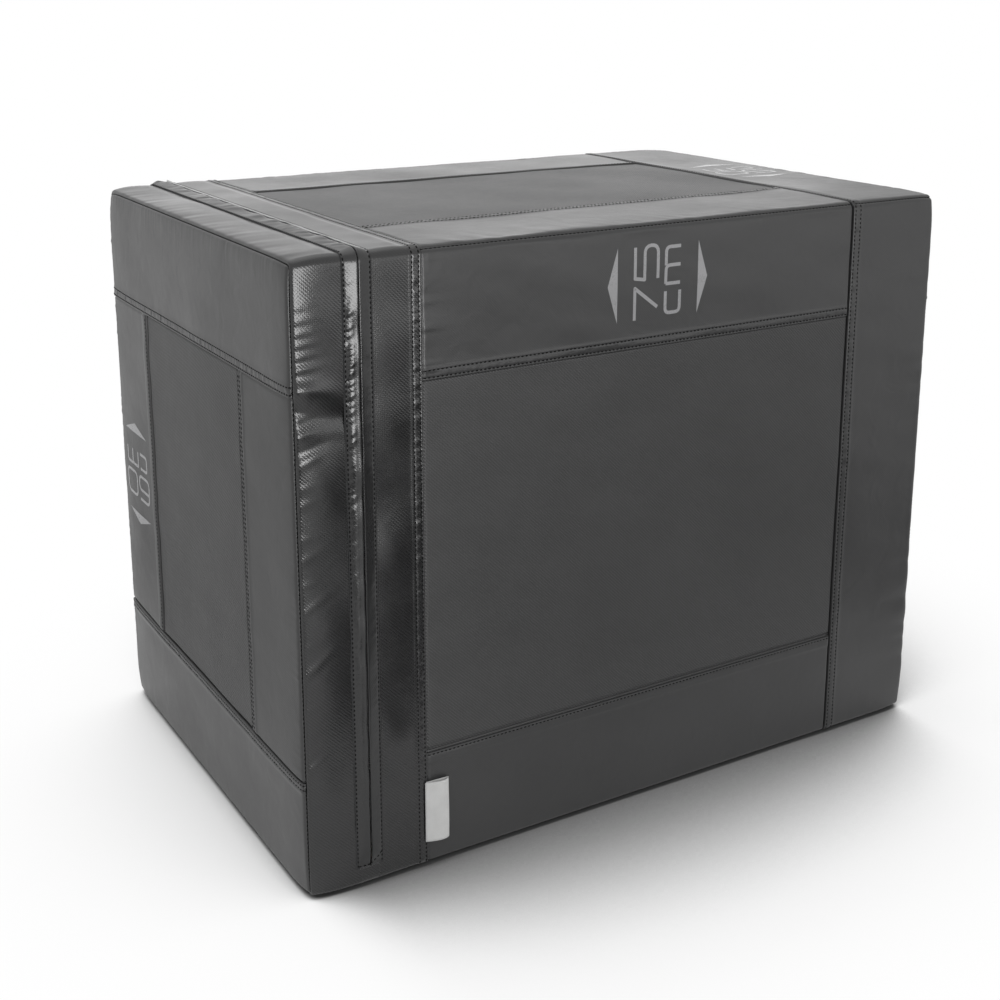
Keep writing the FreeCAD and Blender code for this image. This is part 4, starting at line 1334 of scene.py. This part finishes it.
class JUMPBOX_OT_stage(Dressing):
    """Pale floor, white surroundings, soft lamps and the camera"""

    bl_idname = "jump_box.stage"
    bl_label = "Stage"

    FLOOR_RINGS, FLOOR_ROUND = 18, 64

    def execute(self, context):
        scene = context.scene
        scene.view_settings.view_transform = "Standard"
        self.floor()
        self.surroundings(scene)
        for lamp in LAMPS:
            self.lamp(*lamp)
        for card in CARDS:
            self.card(*card)
        camera = bpy.data.cameras.new("photo_view")
        camera.lens, camera.sensor_width, camera.shift_y = LENS, SENSOR, SHIFT
        eye = bpy.data.objects.new("photo_view", camera)
        eye.location = EYE
        eye.rotation_euler = (math.radians(90 - EYE_DOWN), 0, math.radians(EYE_TURN))
        scene.collection.objects.link(eye)
        scene.camera = eye
        return {"FINISHED"}

    def floor(self):
        """A level disc of rings round the box. Where nothing stands near, it is the white of the surroundings; beside
        the box it is a pale floor with a painted shadow: to the camera its colour is darkened by the ambient occlusion,
        less on the box's left."""
        ring = np.concatenate([[0.0], np.geomspace(0.2, 9.0, self.FLOOR_RINGS)])[:, None]
        turn = np.linspace(0, 2 * np.pi, self.FLOOR_ROUND + 1)[:-1]
        points = stacked(ring * np.cos(turn), ring * np.sin(turn), -0.4 * MM).reshape(-1, 3)
        m = Recipe("studio_floor", colours().floor, 0.85, Specular_IOR_Level=0.1)
        camera_ray, seen = m.seen()
        open_sky = m.make("AmbientOcclusion", {"samples": 32}, Distance=0.46).outputs["AO"]
        along = m.make("SeparateXYZ", Vector=m.place).outputs["X"]
        # Painted shadow: for camera rays only, the floor's colour is darkened by the ambient occlusion to a power. The
        # power is lower on the box's left, so the painted shadow is lighter there, and the floor also fades to white
        # sooner there.
        painted_lit_side = m.between(along, -0.30, -0.42, 0.0, 1.0)
        depth = m.times(camera_ray, m.maths("SUBTRACT", 1.4, painted_lit_side))
        m.shade(m.maths("POWER", open_sky, depth), 0.1, 1.0)
        fade = m.between(open_sky, m.maths("SUBTRACT", 0.55, m.times(painted_lit_side, 0.3)), 1.0, 0.0, 1.0)
        white = m.make("Emission", Color=(1, 1, 1, 1), Strength=1.0)
        mixed = m.make("MixShader", i0=m.times(fade, seen), i1=m.shader.outputs[0], i2=white.outputs[0])
        m.tree.links.new(mixed.outputs[0], m.tree.nodes["Material Output"].inputs["Surface"])
        quads = grid_faces(self.FLOOR_RINGS + 1, self.FLOOR_ROUND, True)
        quads = outward(points, quads, np.tile([0, 0, 1.0], (len(points), 1)))
        mesh_piece("studio_floor", points, quads, [m.material])

    def surroundings(self, scene):
        """White to the camera and in reflections; a little less as light."""
        world = bpy.data.worlds.new("white_studio")
        world.use_nodes = True
        scene.world = world
        nodes = Nodes(world.node_tree)
        level = nodes.make("MapRange", Value=nodes.seen()[1], i3=0.95, i4=1.0).outputs["Result"]
        fill(nodes.tree, nodes.tree.nodes["Background"], {"Color": (1, 1, 1, 1), "Strength": level})

    def card(self, name, corner, along, across, tone):
        """A dark or grey card that only reflections see, to shape the gloss: a corner and two sides."""
        u, v = np.meshgrid(np.linspace(0, 1, 9), np.linspace(0, 1, 9), indexing="ij")
        x, y = (corner[i] + u * along[i] + v * across[i] for i in range(2))
        m = Recipe(name, (tone, tone, tone), 0.9, Specular_IOR_Level=0.0)
        m.shade(m.noise(30.0), 0.9, 1.1)
        piece = mesh_piece(name, stacked(x, y, CARD_HEIGHT).reshape(-1, 3), grid_faces(9, 9), [m.material])
        piece.visible_camera = piece.visible_diffuse = piece.visible_shadow = piece.visible_transmission = False

    def lamp(self, name, place, aim, size, power, gloss_only):
        """A rectangular soft lamp that looks at a point. One for gloss only shows in reflections and adds no light."""
        light = bpy.data.lights.new(name, "AREA")
        light.shape, light.size, light.size_y, light.energy = "RECTANGLE", size[0], size[1], power
        lamp = bpy.data.objects.new(name, light)
        away = np.array(aim, float) - np.array(place, float)
        lamp.location = place
        lamp.visible_camera, lamp.visible_diffuse = False, not gloss_only
        tilt = math.atan2(math.hypot(away[0], away[1]), -away[2])
        lamp.rotation_euler = (tilt, 0, math.atan2(away[1], away[0]) - math.pi / 2)
        bpy.context.scene.collection.objects.link(lamp)


STEPS = (JUMPBOX_OT_front_and_back, JUMPBOX_OT_top_and_base, JUMPBOX_OT_ends, JUMPBOX_OT_gussets, JUMPBOX_OT_zip,
         JUMPBOX_OT_tag, JUMPBOX_OT_stitching, JUMPBOX_OT_size_marks, JUMPBOX_OT_foam, JUMPBOX_OT_core,
         JUMPBOX_OT_stage)


class JUMPBOX_PT_sidebar(bpy.types.Panel):
    """Sizes, colours and steps of the jump box"""

    bl_idname = "JUMPBOX_PT_sidebar"
    bl_label = "Jump Box"
    bl_space_type = "VIEW_3D"
    bl_region_type = "UI"
    bl_category = "Jump Box"

    def draw(self, context):
        for group in (context.scene.jump_box_sizes, context.scene.jump_box_colours):
            column = self.layout.column(align=True)
            for name in group.__annotations__:
                column.prop(group, name)
        for step in STEPS:
            self.layout.operator(step.bl_idname)


CLASSES = (JumpBoxSizes, JumpBoxColours, *STEPS, JUMPBOX_PT_sidebar)


def register():
    for kind in CLASSES:
        bpy.utils.register_class(kind)
    bpy.types.Scene.jump_box_sizes = bpy.props.PointerProperty(type=JumpBoxSizes)
    bpy.types.Scene.jump_box_colours = bpy.props.PointerProperty(type=JumpBoxColours)


def unregister():
    del bpy.types.Scene.jump_box_colours
    del bpy.types.Scene.jump_box_sizes
    for kind in reversed(CLASSES):
        bpy.utils.unregister_class(kind)


def main():
    register()
    bpy.ops.jump_box.front_and_back()
    bpy.ops.jump_box.top_and_base()
    bpy.ops.jump_box.ends()
    bpy.ops.jump_box.gussets()
    bpy.ops.jump_box.zip()
    bpy.ops.jump_box.tag()
    bpy.ops.jump_box.stitching()
    bpy.ops.jump_box.size_marks()
    bpy.ops.jump_box.foam()
    bpy.ops.jump_box.core()
    bpy.ops.jump_box.stage()


if __name__ == "__main__":
    main()
